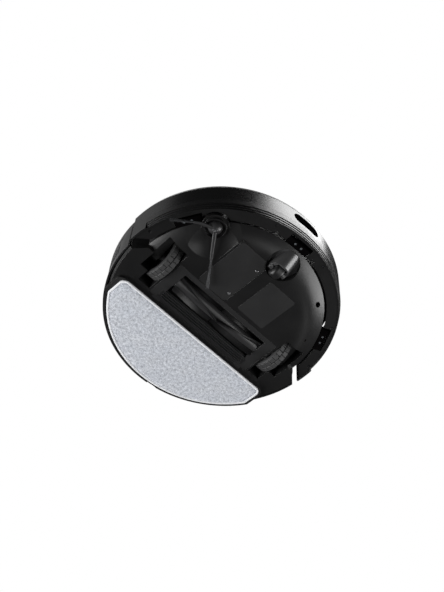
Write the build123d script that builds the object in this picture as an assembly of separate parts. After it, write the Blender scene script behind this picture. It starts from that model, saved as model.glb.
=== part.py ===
"""Disc-shaped robot vacuum with a half-moon mop at the rear.

Millimetres. X is the robot's right, Y its front, Z up. The origin is the centre of the disc on the floor.
"""

import os
from math import cos, degrees, radians, sin, sqrt

from build123d import *

os.makedirs("parts", exist_ok=True)

# ---- driving dimensions ------------------------------------------------------------------------
disc_radius = 177.0           # outside of the bumper
belly_height = 10.0           # belly plane above the floor
rim_height = 82.5             # top of the side wall
wheel_radius = 35.0
brush_radius = 17.4           # main brush
caster_wheel_radius = 12.0
wall = 2.8                    # outside walls
plate = 2.6                   # belly plate and inner walls
thin_wall = 1.6               # housings inside
clearance = 0.4               # between pieces of one body that lie side by side
moving_gap = 0.8              # between bodies that pass each other
shaft_fit = 0.05              # radial, for a shaft that turns in a bore
touch = 0.01                  # keeps faces of one body from sharing a sliver

# body walls
front_radius = disc_radius - 24.3           # chassis wall behind the bumper
belly_rear_radius = disc_radius - 9.0
rear_set_back = 3.0           # centre of the rear wall, behind the disc's centre
rear_radius = disc_radius - rear_set_back
chassis_rear_radius = rear_radius - 3.6
slope_start_radius = disc_radius - 46.0     # where the front of the belly begins to rise
slope_start_back = 8.0        # centre of that circle, behind the disc's centre
slope_top = 19.4
seam_height = 25.0            # upper shell stands on the chassis here
deck_height = rim_height - 3.0              # underside of the top cover
crown_height = rim_height + 2.5             # middle of the top cover
deck_radius = disc_radius - 9.4
deck_width = 25.0             # ring on which the top cover lies
cover_rim_radius = disc_radius - 5.6
cover_skin = 2.0
cover_skirt = 6.0             # width of the cover's standing edge
cover_drop = 1.6              # the cover's edge lies this far below its middle
rim_chamfer_height = 8.0
rim_chamfer_depth = 2.5
rear_wall_bottom = 14.0
flare_inner = (front_radius, 5.0)           # the notch beside the bumper's end
flare_outer = (belly_rear_radius, -13.0)
flare_wall = (disc_radius + 5, -17.0)

# bumper
bumper_travel = 3.0
bumper_end_y = -6.0
flange_bottom = 19.0
flange_thickness = 2.0
flange_inner_radius = front_radius + 3.3
flange_end_inner = (flange_inner_radius, 14.0)
flange_end_outer = (disc_radius - 3.0, -2.0)
flange_side_rear = -20.0
flange_side_front = 60.0
lip_angle = 82.5              # the stepped lip ends this far round from the front
lip_bottom = 17.8
stair_heights = [3.0, 7.5, 12.0]      # treads of the stepped lip, above its bottom
stair_depth = 0.9
shell_bottom = 32.8
band_bottom = 41.0
band_top = rim_height - 8.5
band_depth = 1.0
band_end_angle = 86.8
window_width = 49.0
window_height = 21.0
window_middle_height = (band_bottom + band_top) / 2 + 0.5
window_angle = 2.0
window_depth = 0.8
bumper_screw_angles = [18.3, -14.9, -53.5, 82.4, -81.2]
bumper_screw_circle = disc_radius - 9.0
bumper_screw_radius = 2.4
bumper_screw_head = 0.7
bumper_screw_socket = 0.9
skirt_notch_angles = [15.8, -9.9]
skirt_notch_circle = front_radius + 4.2
skirt_notch = 6.0
skirt_slot = (-13.5, disc_radius - 11.0)
skirt_slot_size = (3.4, 5.5)
spring_x = 66.0
spring_z = 51.0
spring_radius = 3.0
switch_angle = 38.0
switch_z = 45.0
switch_size = (14.0, 9.0, 6.0)

# cliff sensors: middle, and angle from the front towards the right
sensor_length = 38.0
sensor_depth = 10.5
sensor_height = 8.0
sensor_middle_radius = front_radius + 5.5
sensor_gap = 1.2
sensors = {"front": 2.2, "right": 62.5, "left": -62.5}
lens_radius = 1.7
lens_spacing = 11.5
lens_height = 1.2

# side brush
side_brush_x = 109.0
side_brush_y = 96.0
side_bulge_radius = 20.0
bowl_x = 104.5
bowl_y = 87.5
bowl_radius = 39.5
bowl_depth = 8.5
hub_radius = 10.6
hub_bottom = 7.0
hub_top = 15.6
ring_radius = 16.2
ring_width = 1.4
ring_lip = 2.5                # the ring's lower edge above the belly
side_shaft_radius = 2.5
side_shaft_top = seam_height + 3.0
side_screw_radius = 2.9
side_screw_depth = 1.6
side_arm_points = {
    "short": [(side_brush_x, side_brush_y, 9.2), (131.0, 89.5, 8.4), (166.0, 65.0, 3.4)],
    "long": [(side_brush_x, side_brush_y, 9.2), (80.0, 60.0, 6.4), (49.0, 21.5, 2.2)],
}
side_arm_widths = [5.6, 4.6, 2.6]
side_arm_flatness = 0.72      # an arm's height over its width
side_motor_radius = 10.0
side_motor_top = 40.0
side_motor_can_radius = 7.0
side_motor_can_top = 62.0

# main brush, its housing and guard
guard_half_width = 100.6
guard_front = 19.2
guard_rear = -48.0
guard_lip = 1.0               # rib along the front of the guard's mouth
guard_lip_drop = 0.6
guard_thickness = 2.4
mouth_half_width = 83.5
brush_y = -10.0
brush_z = brush_radius + 1.6
mouth_front = brush_y + brush_radius + 4.0
mouth_rear = brush_y - brush_radius - 3.5
brush_core_radius = 9.0
brush_tunnel_radius = brush_radius + 1.8
blade_thickness = 2.4
blade_count = 4
blade_slices = 9
blade_sweep = 62.0            # degrees that a blade turns from its end to the middle
bearing_radius = 6.0
bearing_length = 5.3
brush_shaft_radius = 3.0
clip_x = 85.0
clip_half_width = 7.0
clip_depth = 4.6
strip_half_width = 88.0
strip_front = mouth_rear - 1.1
strip_rear = -44.6
strip_rib_backs = [2.2, 6.2, 10.2]     # ribs behind the strip's front
strip_rib_width = 1.4
strip_rib_drop = 2.4          # the ribs reach this far below the belly
drive_x0 = -88.0              # the motor that turns the main brush
drive_x1 = -42.0
drive_y = 33.5
drive_z = 36.0
drive_radius = 11.0
throat_half_width = 36.0
throat_rear = -8.0
throat_front = 6.0
duct_height = 17.0
core_end_gap = 6.0            # the core's shafts stand this far out of its ends
bearing_end_gap = 6.5

# wheels and their arms
wheel_x = 114.4
wheel_y = -3.0
tyre_width = 18.0
tyre_depth = 7.5
well_inner = 104.0
well_narrow_outer = 126.4
well_wide_outer = 141.2
well_front = wheel_y + wheel_radius + 6.0
well_step = -23.2
well_rear = wheel_y - wheel_radius - 6.5
well_top = 2 * wheel_radius + 1.4
arm_thickness = 13.0
arm_gap = 1.8
arm_pivot_y = wheel_y + wheel_radius - 5.0
arm_pivot_z = wheel_radius + 7.0
arm_end_radius = 13.0
arm_pivot_radius = 9.0
pivot_pin_radius = 3.0
wheel_shaft_radius = 3.0
arm_rim = 2.5
spoke_holes = 5
spoke_hole_radius = 4.6
spoke_circle = wheel_radius - 19.5
hub_boss_radius = 6.5
hub_rim = 2.4
hub_web = 4.0
hub_side_gap = 0.6             # the hub lies this far inside the tyre's sides
tyre_groove_width = 1.0
motor_shell = 2.0
motor_proud = 0.6
tyre_chamfer = 1.2
tyre_groove = 1.4
motor_y = 12.0
motor_z = well_top - 14.4
motor_radius = 9.0

# caster
caster_y = 124.0
caster_recess_radius = 25.0
caster_liner = 1.0
turret_gap = 0.6
caster_wheel_width = 17.0
caster_trail = 11.6
caster_pin_radius = 2.0
hood_radius = 16.0
hood_ridge_front = (148.0, 17.0)
hood_ridge_rear = (128.0, 3.0)
socket_top = 44.0
turret_bottom = 19.0
turret_top = 40.0
stem_radius = 4.0
caster_wheel_round = 5.0
cheek_radius = 4.4

# battery, label and boards
door_x0 = 13.0
door_x1 = 68.0
door_y0 = 20.0
door_y1 = 112.0
door_corner = 6.0
door_screw_x = 18.5
door_screw_ys = [35.0, 91.0]
door_ledge = 1.2
door_thickness = 1.4
door_screw_radius = 2.6
cell_radius = 9.2
cell_length = 65.0
label_x0 = -60.0
label_x1 = -8.0
label_y0 = 26.0
label_y1 = 94.0
label_thickness = 0.3
board_height = 58.0
board_thickness = 1.6
board_half_width = 75.0
board_rear = 24.0
board_front = 92.0
board_parts = [           # corner x and y, length, depth, height
    (-40, 70, 16, 14, 1.6),
    (10, 50, 24, 10, 2.4),
    (45, 75, 10, 16, 6),
    (-55, 40, 12, 20, 5),
]
rib_half_length = 76.0        # the two fine ribs behind the guard
rib_lines = [-50.4, -52.0]
rib_width = 0.8
drain_spot = (-87.0, 114.0)
drain_size = (5.0, 3.2)

# mop
mop_plate_radius = disc_radius - 2.4
mop_plate_half_width = 150.0
mop_plate_front = -54.5
mop_plate_bottom = 4.2
mop_plate_top = 9.4
pad_radius = mop_plate_radius - 6.0
pad_half_width = 144.0
pad_front = -53.4
pad_corner = 9.0
plate_notch_x = -21.0
plate_notch_width = 17.0
plate_notch_depth = 3.0
plate_notch_height = 2.0

# dust and water tank
tank_half_width = 104.0
tank_front = -62.0
tank_bottom = 26.0
tank_top = 68.0
tank_wall = 2.0
inlet_bottom = brush_z + brush_tunnel_radius + 2 * thin_wall
inlet_sill = 1.4
tank_partition = inlet_bottom - inlet_sill - tank_wall
port_rear = -108.0            # the filter's opening in the tank's side
port_front = -72.0
port_bottom = 44.0
port_top = 62.0
filter_overlap = 2.0          # the filter's frame round that opening
filter_frame_top = 65.0
filter_depth = 8.0
latch_half_width = 16.0
latch_bottom = 52.0
latch_height = 9.0
latch_travel = 1.5
latch_depth = 6.5
filter_ribs = 8
filter_pitch = 4.4

# fan
fan_x = -127.0
fan_y = -72.0
fan_bottom = 30.0
fan_top = 62.0
fan_radius = 21.0
fan_hub_radius = 8.0
fan_shaft_radius = 2.0
vanes = 9
vane_size = (12.0, 1.0, 9.0)
vane_turn = 25.0
impeller_gap = 3.4            # between the impeller's plate and the fan housing's outside
impeller_low = 4.0            # its hub above the housing's floor
impeller_plate = 14.0         # its plate above the housing's floor
impeller_hub_radius = 5.0
fan_boss = 12.0               # depth of the boss that holds the shaft

# charging contacts
contact_x = 14.0
contact_width = 16.0
contact_height = 6.0
contact_z = 19.5
contact_depth = 1.2
contact_recess = 1.0

# side grilles, in degrees round from the front
grille_start = 101.0
grille_end = 124.0
grille_bottom = 22.0
grille_top = 63.0
grille_depth = 1.6
grille_slots = 9

# controls on top
panel_y = 118.0
panel_half_length = 24.0
panel_radius = 9.0
panel_top = crown_height - 0.2
panel_depth = 2.4
panel_seat_depth = 4.4
button_spacing = 11.5
button_radius = 5.5
button_height = 3.0
button_proud = 0.6
button_stem_depth = 6.0
light_radius = 1.5
key_gap = 0.3
key_stem_inset = 2.5

far = 3 * disc_radius         # longer than the whole robot, for cutting tools


# ---- helpers -------------------------------------------------------------------------------------
def box(x0, x1, y0, y1, z0, z1):
    """A box between its two corners."""
    return Pos((x0 + x1) / 2, (y0 + y1) / 2, (z0 + z1) / 2) * Box(x1 - x0, y1 - y0, z1 - z0)


def disc(radius, z0, z1, x=0.0, y=0.0):
    """An upright cylinder."""
    return Pos(x, y, (z0 + z1) / 2) * Cylinder(radius, z1 - z0)


def tube(inner, outer, z0, z1, x=0.0, y=0.0):
    """An upright tube."""
    return disc(outer, z0, z1, x, y) - disc(inner, z0 - touch, z1 + touch, x, y)


def rod_x(radius, x0, x1, y, z):
    """A cylinder along X."""
    return Pos((x0 + x1) / 2, y, z) * Rot(0, 90, 0) * Cylinder(radius, abs(x1 - x0))


def turned(points):
    """A ring turned about Z from (radius, height) points."""
    return revolve(Plane.XZ * make_face(Polyline(*points, close=True)), Axis.Z)


def around(radius, angle):
    """The plan position at an angle round from the front towards the right."""
    return radius * sin(radians(angle)), radius * cos(radians(angle))


def wedge(angle0, angle1, z0=-5.0, z1=100.0):
    """Everything between two angles round from the front, less than half a turn apart."""
    middle = (angle0 + angle1) / 2
    spots = [(0, 0), around(far, angle0), around(far, middle), around(far, angle1)]
    return Pos(0, 0, z0) * extrude(make_face(Polyline(*spots, close=True)), z1 - z0)


def rear_disc(inset=0.0):
    """An upright cylinder along the rear wall, that much inside its outer face."""
    return disc(rear_radius - inset, 0, far, 0, -rear_set_back)


def behind_flare():
    """The plan region behind the notches at the bumper's ends."""
    right = [flare_inner, flare_outer, flare_wall, (flare_wall[0], -far)]
    left = [(-x, y) for x, y in reversed(right)]
    return make_face(Polyline(*right, *left, close=True))


def body_outline(front, rear, bulge):
    """Plan outline of the body: front disc, wider rear and the bulge round the side brush."""
    rear_part = (Pos(0, -rear_set_back) * Circle(rear)) & behind_flare()
    return Circle(front) + rear_part + Pos(side_brush_x, side_brush_y) * Circle(bulge)


def rounded(x0, x1, y0, y1, corner):
    """A plan rectangle with round corners."""
    return Pos((x0 + x1) / 2, (y0 + y1) / 2) * RectangleRounded(x1 - x0, y1 - y0, corner)


def raised(sketch, z0, z1):
    """A plan sketch extruded between two heights."""
    return Pos(0, 0, z0) * extrude(sketch, z1 - z0)


def single(shape):
    """The largest solid of a shape, without crumbs that a cut leaves."""
    return max(shape.solids(), key=lambda solid: solid.volume)


def write(name, *shapes):
    """Saves one node, as one solid or as a group of separate ones."""
    solids = [solid for shape in shapes for solid in shape.solids()]
    piece = solids[0] if len(solids) == 1 else Compound(children=solids)
    piece.label = name
    export_step(piece, f"parts/{name}.step")


def both_sides(name, maker, around_it=None):
    """Saves the right and left copy of a piece made on the right side, cut back from what it sits on."""
    right = maker()
    for side, copy in (("right_", right), ("left_", mirror(right, about=Plane.YZ))):
        if around_it is not None:
            copy = single(copy - around_it)
        write(side + name, copy)


# ---- chassis -------------------------------------------------------------------------------------
def well_plan(extra=0.0):
    """Plan of the right wheel well: narrow at the rear, wide in front for the arm."""
    narrow = Pos((well_inner + well_narrow_outer) / 2, (well_rear + well_front) / 2) * Rectangle(
        well_narrow_outer - well_inner + 2 * extra, well_front - well_rear + 2 * extra
    )
    wide = Pos((well_inner + well_wide_outer) / 2, (well_step + well_front) / 2) * Rectangle(
        well_wide_outer - well_inner + 2 * extra, well_front - well_step + 2 * extra
    )
    return narrow + wide


def slope(start, top_radius, bottom, top):
    """The sloped front of the belly, from a circle set back to the front edge."""
    low = Pos(0, -slope_start_back, bottom) * Circle(start)
    high = Pos(0, 0, top) * Circle(top_radius)
    return loft([low, high])


def chassis_mass():
    """Outside shape of the chassis with no hollows."""
    rear = raised(Circle(chassis_rear_radius) & behind_flare(), belly_height, seam_height)
    under_edge = Pos(0, 0, (belly_height + rear_wall_bottom) / 2) * Cone(
        belly_rear_radius, chassis_rear_radius, rear_wall_bottom - belly_height
    )
    rear &= under_edge + disc(chassis_rear_radius, rear_wall_bottom, seam_height)
    front = slope(slope_start_radius, front_radius, belly_height, slope_top)
    front += disc(front_radius, slope_top, seam_height)
    bulge = disc(side_bulge_radius, slope_top - plate, seam_height, side_brush_x, side_brush_y)
    door_pad = box(door_x0 - 3, door_x1 + 1, door_y0 - 3, door_y1 + 1, belly_height, belly_height + plate)
    return rear + front + bulge + door_pad


def chassis_hollow():
    """Inside of the chassis tray."""
    floor = belly_height + plate
    rear_plan = offset(Circle(chassis_rear_radius) & behind_flare(), -plate)
    bridge = box(-slope_start_radius + 8, slope_start_radius - 8, -40, 60, floor, seam_height + 1)
    front = slope(slope_start_radius - plate, front_radius - plate, floor, slope_top + plate)
    front += disc(front_radius - plate, slope_top + plate, seam_height + 1)
    bulge = disc(side_bulge_radius - plate, slope_top, seam_height + 1, side_brush_x, side_brush_y)
    pad_top = belly_height + 2 * plate
    keep_pad = box(door_x0 - 3, door_x1 + 3, door_y1 - 18, door_y1 + 2, floor - 1, pad_top)
    return raised(rear_plan, floor, seam_height + 1) + bridge + (front - keep_pad) + bulge


def bowl(extra):
    """The shallow dish under the side brush, as a ball to cut with."""
    ball = (bowl_radius**2 + bowl_depth**2) / (2 * bowl_depth)
    return Pos(bowl_x, bowl_y, belly_height + bowl_depth - ball) * Sphere(ball + extra)


def bowl_region():
    """The upright region in which the dish is pressed into the belly."""
    region = disc(bowl_radius + 6, belly_height - 1, belly_height + bowl_depth + plate + 1, bowl_x, bowl_y)
    region &= box(door_x1 + 3, far, -far, far, 0, far)
    return region & box(-far, far, well_front + thin_wall + 1, far, 0, far)


guard_hole = box(
    -guard_half_width - clearance, guard_half_width + clearance,
    guard_rear - clearance, guard_front + clearance, belly_height - 1, belly_height + plate + 0.5,
)


def clip_plan(extra):
    """Plan of the guard's two clips."""
    y_middle = guard_rear - clip_depth / 2
    return [
        Pos(side * clip_x, y_middle) * Rectangle(2 * (clip_half_width + extra), clip_depth + 2 * extra)
        for side in (-1, 1)
    ]


def make_chassis():
    mass = chassis_mass()
    tray = mass - chassis_hollow()
    tray += bowl(plate) & bowl_region() & mass
    tray -= bowl(0.0) & bowl_region()
    tray += tube(
        ring_radius - ring_width, ring_radius, belly_height + ring_lip, slope_top,
        side_brush_x, side_brush_y,
    )
    tray += disc(ring_radius, hub_top + moving_gap, seam_height - 1, side_brush_x, side_brush_y)
    tray -= disc(ring_radius - ring_width, 0, hub_top + moving_gap, side_brush_x, side_brush_y)
    tray -= disc(side_shaft_radius + moving_gap, 0, far, side_brush_x, side_brush_y)
    tray -= guard_hole
    for plan in clip_plan(clearance):
        tray -= raised(plan, belly_height - 1, belly_height + plate + 1)
    right_well = raised(well_plan(), 0, seam_height + 5)
    tray -= right_well
    tray -= mirror(right_well, about=Plane.YZ)
    tray -= disc(caster_recess_radius, 0, far, 0, caster_y)
    door_hole = rounded(door_x0, door_x1, door_y0, door_y1, door_corner)
    tray -= raised(offset(door_hole, clearance), belly_height - 1, belly_height + door_thickness)
    tray -= raised(offset(door_hole, -door_ledge), belly_height - 1, belly_height + 3 * plate)
    for y in rib_lines:
        tray += box(
            -rib_half_length, rib_half_length, y - rib_width / 2, y + rib_width / 2,
            belly_height - rib_width, belly_height + 0.1,
        )
    tray -= raised(Pos(*drain_spot) * Rot(0, 0, 35) * Ellipse(*drain_size), 0, seam_height)
    return single(tray)


chassis = make_chassis()
write("lower_chassis", chassis)


# ---- upper shell, rear wall and deck -------------------------------------------------------------
def rim_chamfer():
    """Ring that trims the top outside edge of the rear wall."""
    low = rim_height - rim_chamfer_height
    ring = turned([
        (rear_radius - rim_chamfer_depth, rim_height + 0.5), (rear_radius + 0.1, low),
        (rear_radius + 5, low), (rear_radius + 5, rim_height + 0.5),
    ])
    return Pos(0, -rear_set_back, 0) * ring


def grille_plan(start, end, inset, proud, bottom, top):
    """A stretch of the rear wall between two angles, from inside to outside its face."""
    ring = tube(rear_radius - inset, rear_radius + proud, bottom, top, 0, -rear_set_back)
    return ring & wedge(start, end)


def make_upper_shell():
    outline = body_outline(front_radius, rear_radius, side_bulge_radius)
    walls = raised(outline, seam_height, deck_height)
    walls -= raised(offset(outline, -plate), seam_height - 1, deck_height - plate)
    walls -= disc(deck_radius - deck_width, deck_height - 2 * plate, deck_height + 1)
    deck = tube(deck_radius - deck_width, deck_radius, deck_height - plate, deck_height)
    rear_region = raised(behind_flare(), rear_wall_bottom, rim_height)
    rear = (rear_disc() - rear_disc(wall)) & rear_region
    rear_rim = (rear_disc() - disc(deck_radius, 0, deck_height + far)) & rear_region
    rear_rim &= disc(far / 2, deck_height - plate, rim_height)
    shell = walls + deck + rear + rear_rim - rim_chamfer()
    opening = box(
        -tank_half_width - moving_gap, tank_half_width + moving_gap, -far, tank_front + moving_gap,
        tank_bottom - moving_gap, tank_top + moving_gap,
    )
    shell -= opening
    for side in (1, -1):
        angles = sorted((side * grille_start, side * grille_end))
        shell -= grille_plan(*angles, grille_depth, 2, grille_bottom, grille_top)
        air = sorted((side * (grille_start + 2), side * (grille_end - 2)))
        shell -= grille_plan(*air, 9, 2, grille_bottom + 4, grille_top - 4)
        shell -= box(
            side * contact_x - contact_width / 2, side * contact_x + contact_width / 2,
            -disc_radius - 1, -disc_radius + wall + 1,
            contact_z - contact_height / 2, contact_z + contact_height / 2,
        )
    return single(shell)


write("upper_shell", make_upper_shell())
contact_face = contact_recess - disc_radius
contacts = [
    box(
        side * contact_x - contact_width / 2, side * contact_x + contact_width / 2, contact_face,
        contact_face + contact_depth, contact_z - contact_height / 2, contact_z + contact_height / 2,
    )
    for side in (-1, 1)
]
write("charging_contacts", *contacts)


def make_grille():
    """A thin curved panel with upright slots."""
    panel = grille_plan(
        grille_start + 0.1, grille_end - 0.1, grille_depth - touch, -0.4,
        grille_bottom + 0.2, grille_top - 0.2,
    )
    first = grille_start + 4
    step = (grille_end - grille_start - 8) / (grille_slots - 1)
    for number in range(grille_slots):
        middle = first + step * number
        panel -= grille_plan(middle - 0.45, middle + 0.45, 3, 1, grille_bottom + 7, grille_top - 7)
    return panel


both_sides("side_grille", make_grille)


# ---- top cover and controls ----------------------------------------------------------------------
def cover_dome(top):
    """The gently crowned top as part of a large ball."""
    ball = (cover_rim_radius**2 + cover_drop**2) / (2 * cover_drop)
    return Pos(0, 0, top - ball) * Sphere(ball)


def make_cover():
    skirt = disc(deck_radius - clearance, deck_height, rim_height + 0.3)
    lip = disc(cover_rim_radius, rim_height + 0.3, crown_height + 1)
    cover = (skirt + lip) & cover_dome(crown_height)
    cover -= disc(deck_radius - cover_skirt, deck_height - 1, far) & cover_dome(crown_height - cover_skin)
    cover += panel_seat() & cover_dome(crown_height - 0.2)
    cover -= raised(panel_plan(clearance / 2), crown_height - panel_depth, crown_height + 5)
    for x in (-button_spacing, button_spacing):
        cover -= disc(button_radius + key_gap, 0, far, x, panel_y)
    cover -= disc(light_radius + touch, 0, far, 0, panel_y)
    return single(cover)


def panel_plan(extra):
    """The pill-shaped panel that holds the two buttons."""
    return Pos(0, panel_y) * SlotOverall(2 * (panel_half_length + extra), 2 * (panel_radius + extra))


def panel_seat():
    """The thicker part of the cover that carries the panel."""
    return raised(panel_plan(3.0), crown_height - panel_seat_depth, crown_height)


write("top_cover", make_cover())
panel = raised(panel_plan(0.0), crown_height - panel_depth, panel_top)
for x in (-button_spacing, button_spacing):
    panel -= disc(button_radius + key_gap, 0, far, x, panel_y)
panel -= disc(light_radius, 0, far, 0, panel_y)
write("control_panel", panel)
write("status_light", disc(light_radius, crown_height - panel_seat_depth, panel_top - 0.1, 0, panel_y))


def make_button(x):
    """A round key on a stem."""
    top = panel_top + button_proud
    cap = disc(button_radius, top - button_height, top, x, panel_y)
    cap = fillet(cap.edges().sort_by(Axis.Z)[-1], button_proud)
    stem = disc(button_radius - key_stem_inset, panel_top - button_stem_depth, top - button_height, x, panel_y)
    return cap + stem


write("power_button", make_button(button_spacing))
write("home_button", make_button(-button_spacing))


# ---- bumper --------------------------------------------------------------------------------------
front_of_ends = box(-far, far, bumper_end_y, far, 0, far)


def window_plug(inner, outer, extra):
    """A pill-shaped plug pointing out of the bumper's front."""
    pill = SlotOverall(window_width + 2 * extra, window_height + 2 * extra)
    plug = extrude(Plane.XZ.offset(-far / 2) * pill, far / 2)
    plug = Rot(0, 0, -window_angle) * Pos(0, 0, window_middle_height) * plug
    return plug & tube(inner, outer, 0, far)


def band_ring(inner, outer):
    """The glossy band: a ring with full-round ends."""
    end_radius = (band_top - band_bottom) / 2
    end_angle = band_end_angle - degrees(end_radius / disc_radius)
    ring = tube(inner, outer, band_bottom, band_top)
    band = ring & (wedge(-end_angle, 0) + wedge(0, end_angle))
    middle = (band_bottom + band_top) / 2
    for side in (-1, 1):
        spot = Rot(0, 0, -side * end_angle) * Pos(0, disc_radius, middle) * Rot(90, 0, 0)
        band += ring & (spot * Cylinder(end_radius, 20))
    return band


def make_bumper_shell():
    shell = turned([
        (disc_radius - wall, shell_bottom), (disc_radius, shell_bottom),
        (disc_radius, rim_height - rim_chamfer_height), (disc_radius - rim_chamfer_depth, rim_height),
        (disc_radius - wall - 1.0, rim_height), (disc_radius - wall - 1.0, rim_height - 2.0),
        (disc_radius - wall, rim_height - rim_chamfer_height),
    ])
    low = tube(disc_radius - wall, disc_radius, lip_bottom, shell_bottom)
    low &= wedge(lip_angle, 100) + wedge(-100, -lip_angle)
    shell += low
    shell &= front_of_ends
    shell -= band_ring(disc_radius - band_depth, disc_radius + 5)
    shell -= window_plug(disc_radius - band_depth - window_depth, disc_radius + 5, 0.0)
    return single(shell)


write("bumper_shell", make_bumper_shell())
band = band_ring(disc_radius - band_depth, disc_radius)
band -= window_plug(disc_radius - 10, disc_radius + 5, 0.0)
write("bumper_band", band)
write("sensor_window", window_plug(disc_radius - band_depth - window_depth, disc_radius - 0.15, 0.0))


def sensor_block(angle, extra_length, extra_front, z0, z1):
    """A block at a cliff sensor's place, square to the radius."""
    length = sensor_length + 2 * extra_length
    depth = sensor_depth + extra_front
    block = Pos(0, sensor_middle_radius + extra_front / 2, (z0 + z1) / 2) * Box(length, depth, z1 - z0)
    return Rot(0, 0, -angle) * block


screw_spots = [around(bumper_screw_circle, angle) for angle in bumper_screw_angles]


def make_skirt():
    """The flange under the bumper, with its stepped outer lip."""
    top = flange_bottom + flange_thickness
    lip_inner = disc_radius - wall - 1.4
    profile = [(flange_inner_radius, flange_bottom), (lip_inner, flange_bottom), (lip_inner, lip_bottom)]
    profile.append((disc_radius - 3 * stair_depth, lip_bottom))
    for step, height in enumerate(stair_heights):
        profile.append((disc_radius - (3 - step) * stair_depth, lip_bottom + height))
        profile.append((disc_radius - (2 - step) * stair_depth, lip_bottom + height))
    profile += [(disc_radius, shell_bottom), (disc_radius - wall - 0.8, shell_bottom)]
    profile += [(lip_inner - 0.2, shell_bottom - 1.0), (lip_inner - 0.2, top), (flange_inner_radius, top)]
    stair = turned(profile)
    stair &= wedge(-lip_angle, 0) + wedge(0, lip_angle)
    plate_ring = tube(flange_inner_radius, disc_radius - wall, flange_bottom, top)
    plate_ring &= box(-far, far, flange_side_rear, flange_side_front, 0, far)
    for side in (-1, 1):
        ends = [flange_end_inner, flange_end_outer, (disc_radius + 13, flange_side_rear)]
        ends += [(0, flange_side_rear), (0, flange_end_inner[1])]
        corner = [(side * x, y) for x, y in ends]
        plate_ring -= raised(make_face(Polyline(*corner, close=True)), 0, far)
    skirt = stair + plate_ring
    skirt -= disc(side_bulge_radius + bumper_travel + 0.6, 0, far, side_brush_x, side_brush_y)
    for angle in sensors.values():
        room = sensor_block(angle, sensor_gap, 2 * sensor_gap, 0, shell_bottom - 4)
        room += sensor_block(angle, sensor_gap, -sensor_depth / 2, 0, shell_bottom - 4)
        skirt -= room
        skirt -= Pos(0, bumper_travel, 0) * room
    for angle in skirt_notch_angles:
        skirt -= Pos(*around(skirt_notch_circle, angle), flange_bottom) * Box(skirt_notch, skirt_notch, 12)
    skirt -= Pos(*skirt_slot, flange_bottom) * Box(*skirt_slot_size, 12)
    for x, y in screw_spots:
        skirt -= disc(bumper_screw_radius, 0, flange_bottom + 0.3 + bumper_screw_head, x, y)
    return single(skirt)


write("bumper_skirt", make_skirt())
screws = []
for x, y in screw_spots:
    head = disc(bumper_screw_radius, flange_bottom + 0.3, flange_bottom + 0.3 + bumper_screw_head, x, y)
    screws.append(head - disc(bumper_screw_socket, flange_bottom, flange_bottom + bumper_screw_head, x, y))
write("bumper_screws", *screws)


# ---- cliff sensors -------------------------------------------------------------------------------
lenses = []
for name, angle in sensors.items():
    block = sensor_block(angle, 0.0, 0.0, flange_bottom, flange_bottom + sensor_height)
    block -= disc(front_radius, 0, far) + disc(side_bulge_radius, 0, far, side_brush_x, side_brush_y)
    for offset_x in (-lens_spacing / 2, lens_spacing / 2):
        spot = Pos(offset_x, sensor_middle_radius + 0.8, flange_bottom + lens_height / 2)
        lens = Rot(0, 0, -angle) * spot * Cylinder(lens_radius, lens_height)
        block -= lens
        lenses.append(lens)
    write("cliff_sensor_" + name, single(block))
write("cliff_lenses", *lenses)

# ---- bumper springs and switches -----------------------------------------------------------------
springs = []
switches = []
for side in (-1, 1):
    spring_rear = sqrt(front_radius**2 - (spring_x + spring_radius) ** 2)
    spring_front = sqrt((disc_radius - wall) ** 2 - (spring_x + spring_radius) ** 2) - 0.3
    coil = Pos(side * spring_x, (spring_rear + spring_front) / 2, spring_z) * Rot(90, 0, 0)
    spring = coil * Cylinder(spring_radius, spring_front - spring_rear + 8)
    spring -= coil * Cylinder(spring_radius - 1, far)
    spring -= disc(front_radius, 0, far)
    spring &= disc(disc_radius - wall - 0.3, 0, far)
    springs.append(single(spring))
    x, y = around(front_radius + 3.5, side * switch_angle)
    switch = Pos(x, y, switch_z) * Rot(0, 0, -side * switch_angle) * Box(*switch_size)
    switches.append(single(switch - disc(front_radius, 0, far)))
write("bumper_springs", *springs)
write("bumper_switches", *switches)


# ---- side brush ----------------------------------------------------------------------------------
def dome(radius, bottom, top, x, y):
    """A round cap whose low end is the crown."""
    height = top - bottom
    ball = (radius**2 + height**2) / (2 * height)
    return (Pos(x, y, bottom + ball) * Sphere(ball)) & disc(radius, bottom - 1, top, x, y)


def rung(point, toward, width):
    """A small upright disc across an arm at one point."""
    direction = Vector(*toward) - Vector(*point)
    frame = Plane(origin=point, x_dir=(-direction.Y, direction.X, 0), z_dir=direction)
    return frame * Ellipse(width / 2, width / 2 * side_arm_flatness)


def make_side_arm(points):
    """One tapering arm through three points."""
    start, middle, end = points
    beyond = tuple(2 * e - m for e, m in zip(end, middle))
    first = loft([rung(start, middle, side_arm_widths[0]), rung(middle, end, side_arm_widths[1])])
    second = loft([rung(middle, end, side_arm_widths[1]), rung(end, beyond, side_arm_widths[2])])
    return first + second


hub = dome(hub_radius, hub_bottom, hub_top, side_brush_x, side_brush_y)
hub += disc(side_shaft_radius, hub_top - 1, side_shaft_top, side_brush_x, side_brush_y)
hub -= disc(side_screw_radius + 0.1, 0, hub_bottom + side_screw_depth, side_brush_x, side_brush_y)
arms = []
for points in side_arm_points.values():
    arms.append(single(make_side_arm(points) - disc(hub_radius - 2.0, 0, far, side_brush_x, side_brush_y)))
for arm in arms:
    hub -= arm
write("side_brush_hub", single(hub))
write("side_brush_arms", *arms)
screw_face = hub_bottom + 0.5
side_screw = disc(side_screw_radius, screw_face, hub_bottom + side_screw_depth, side_brush_x, side_brush_y)
for turn in (0, 90):
    side_screw -= Pos(side_brush_x, side_brush_y, screw_face) * Rot(0, 0, turn) * Box(3.4, 0.8, 1.0)
write("side_brush_screw", side_screw)

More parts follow.
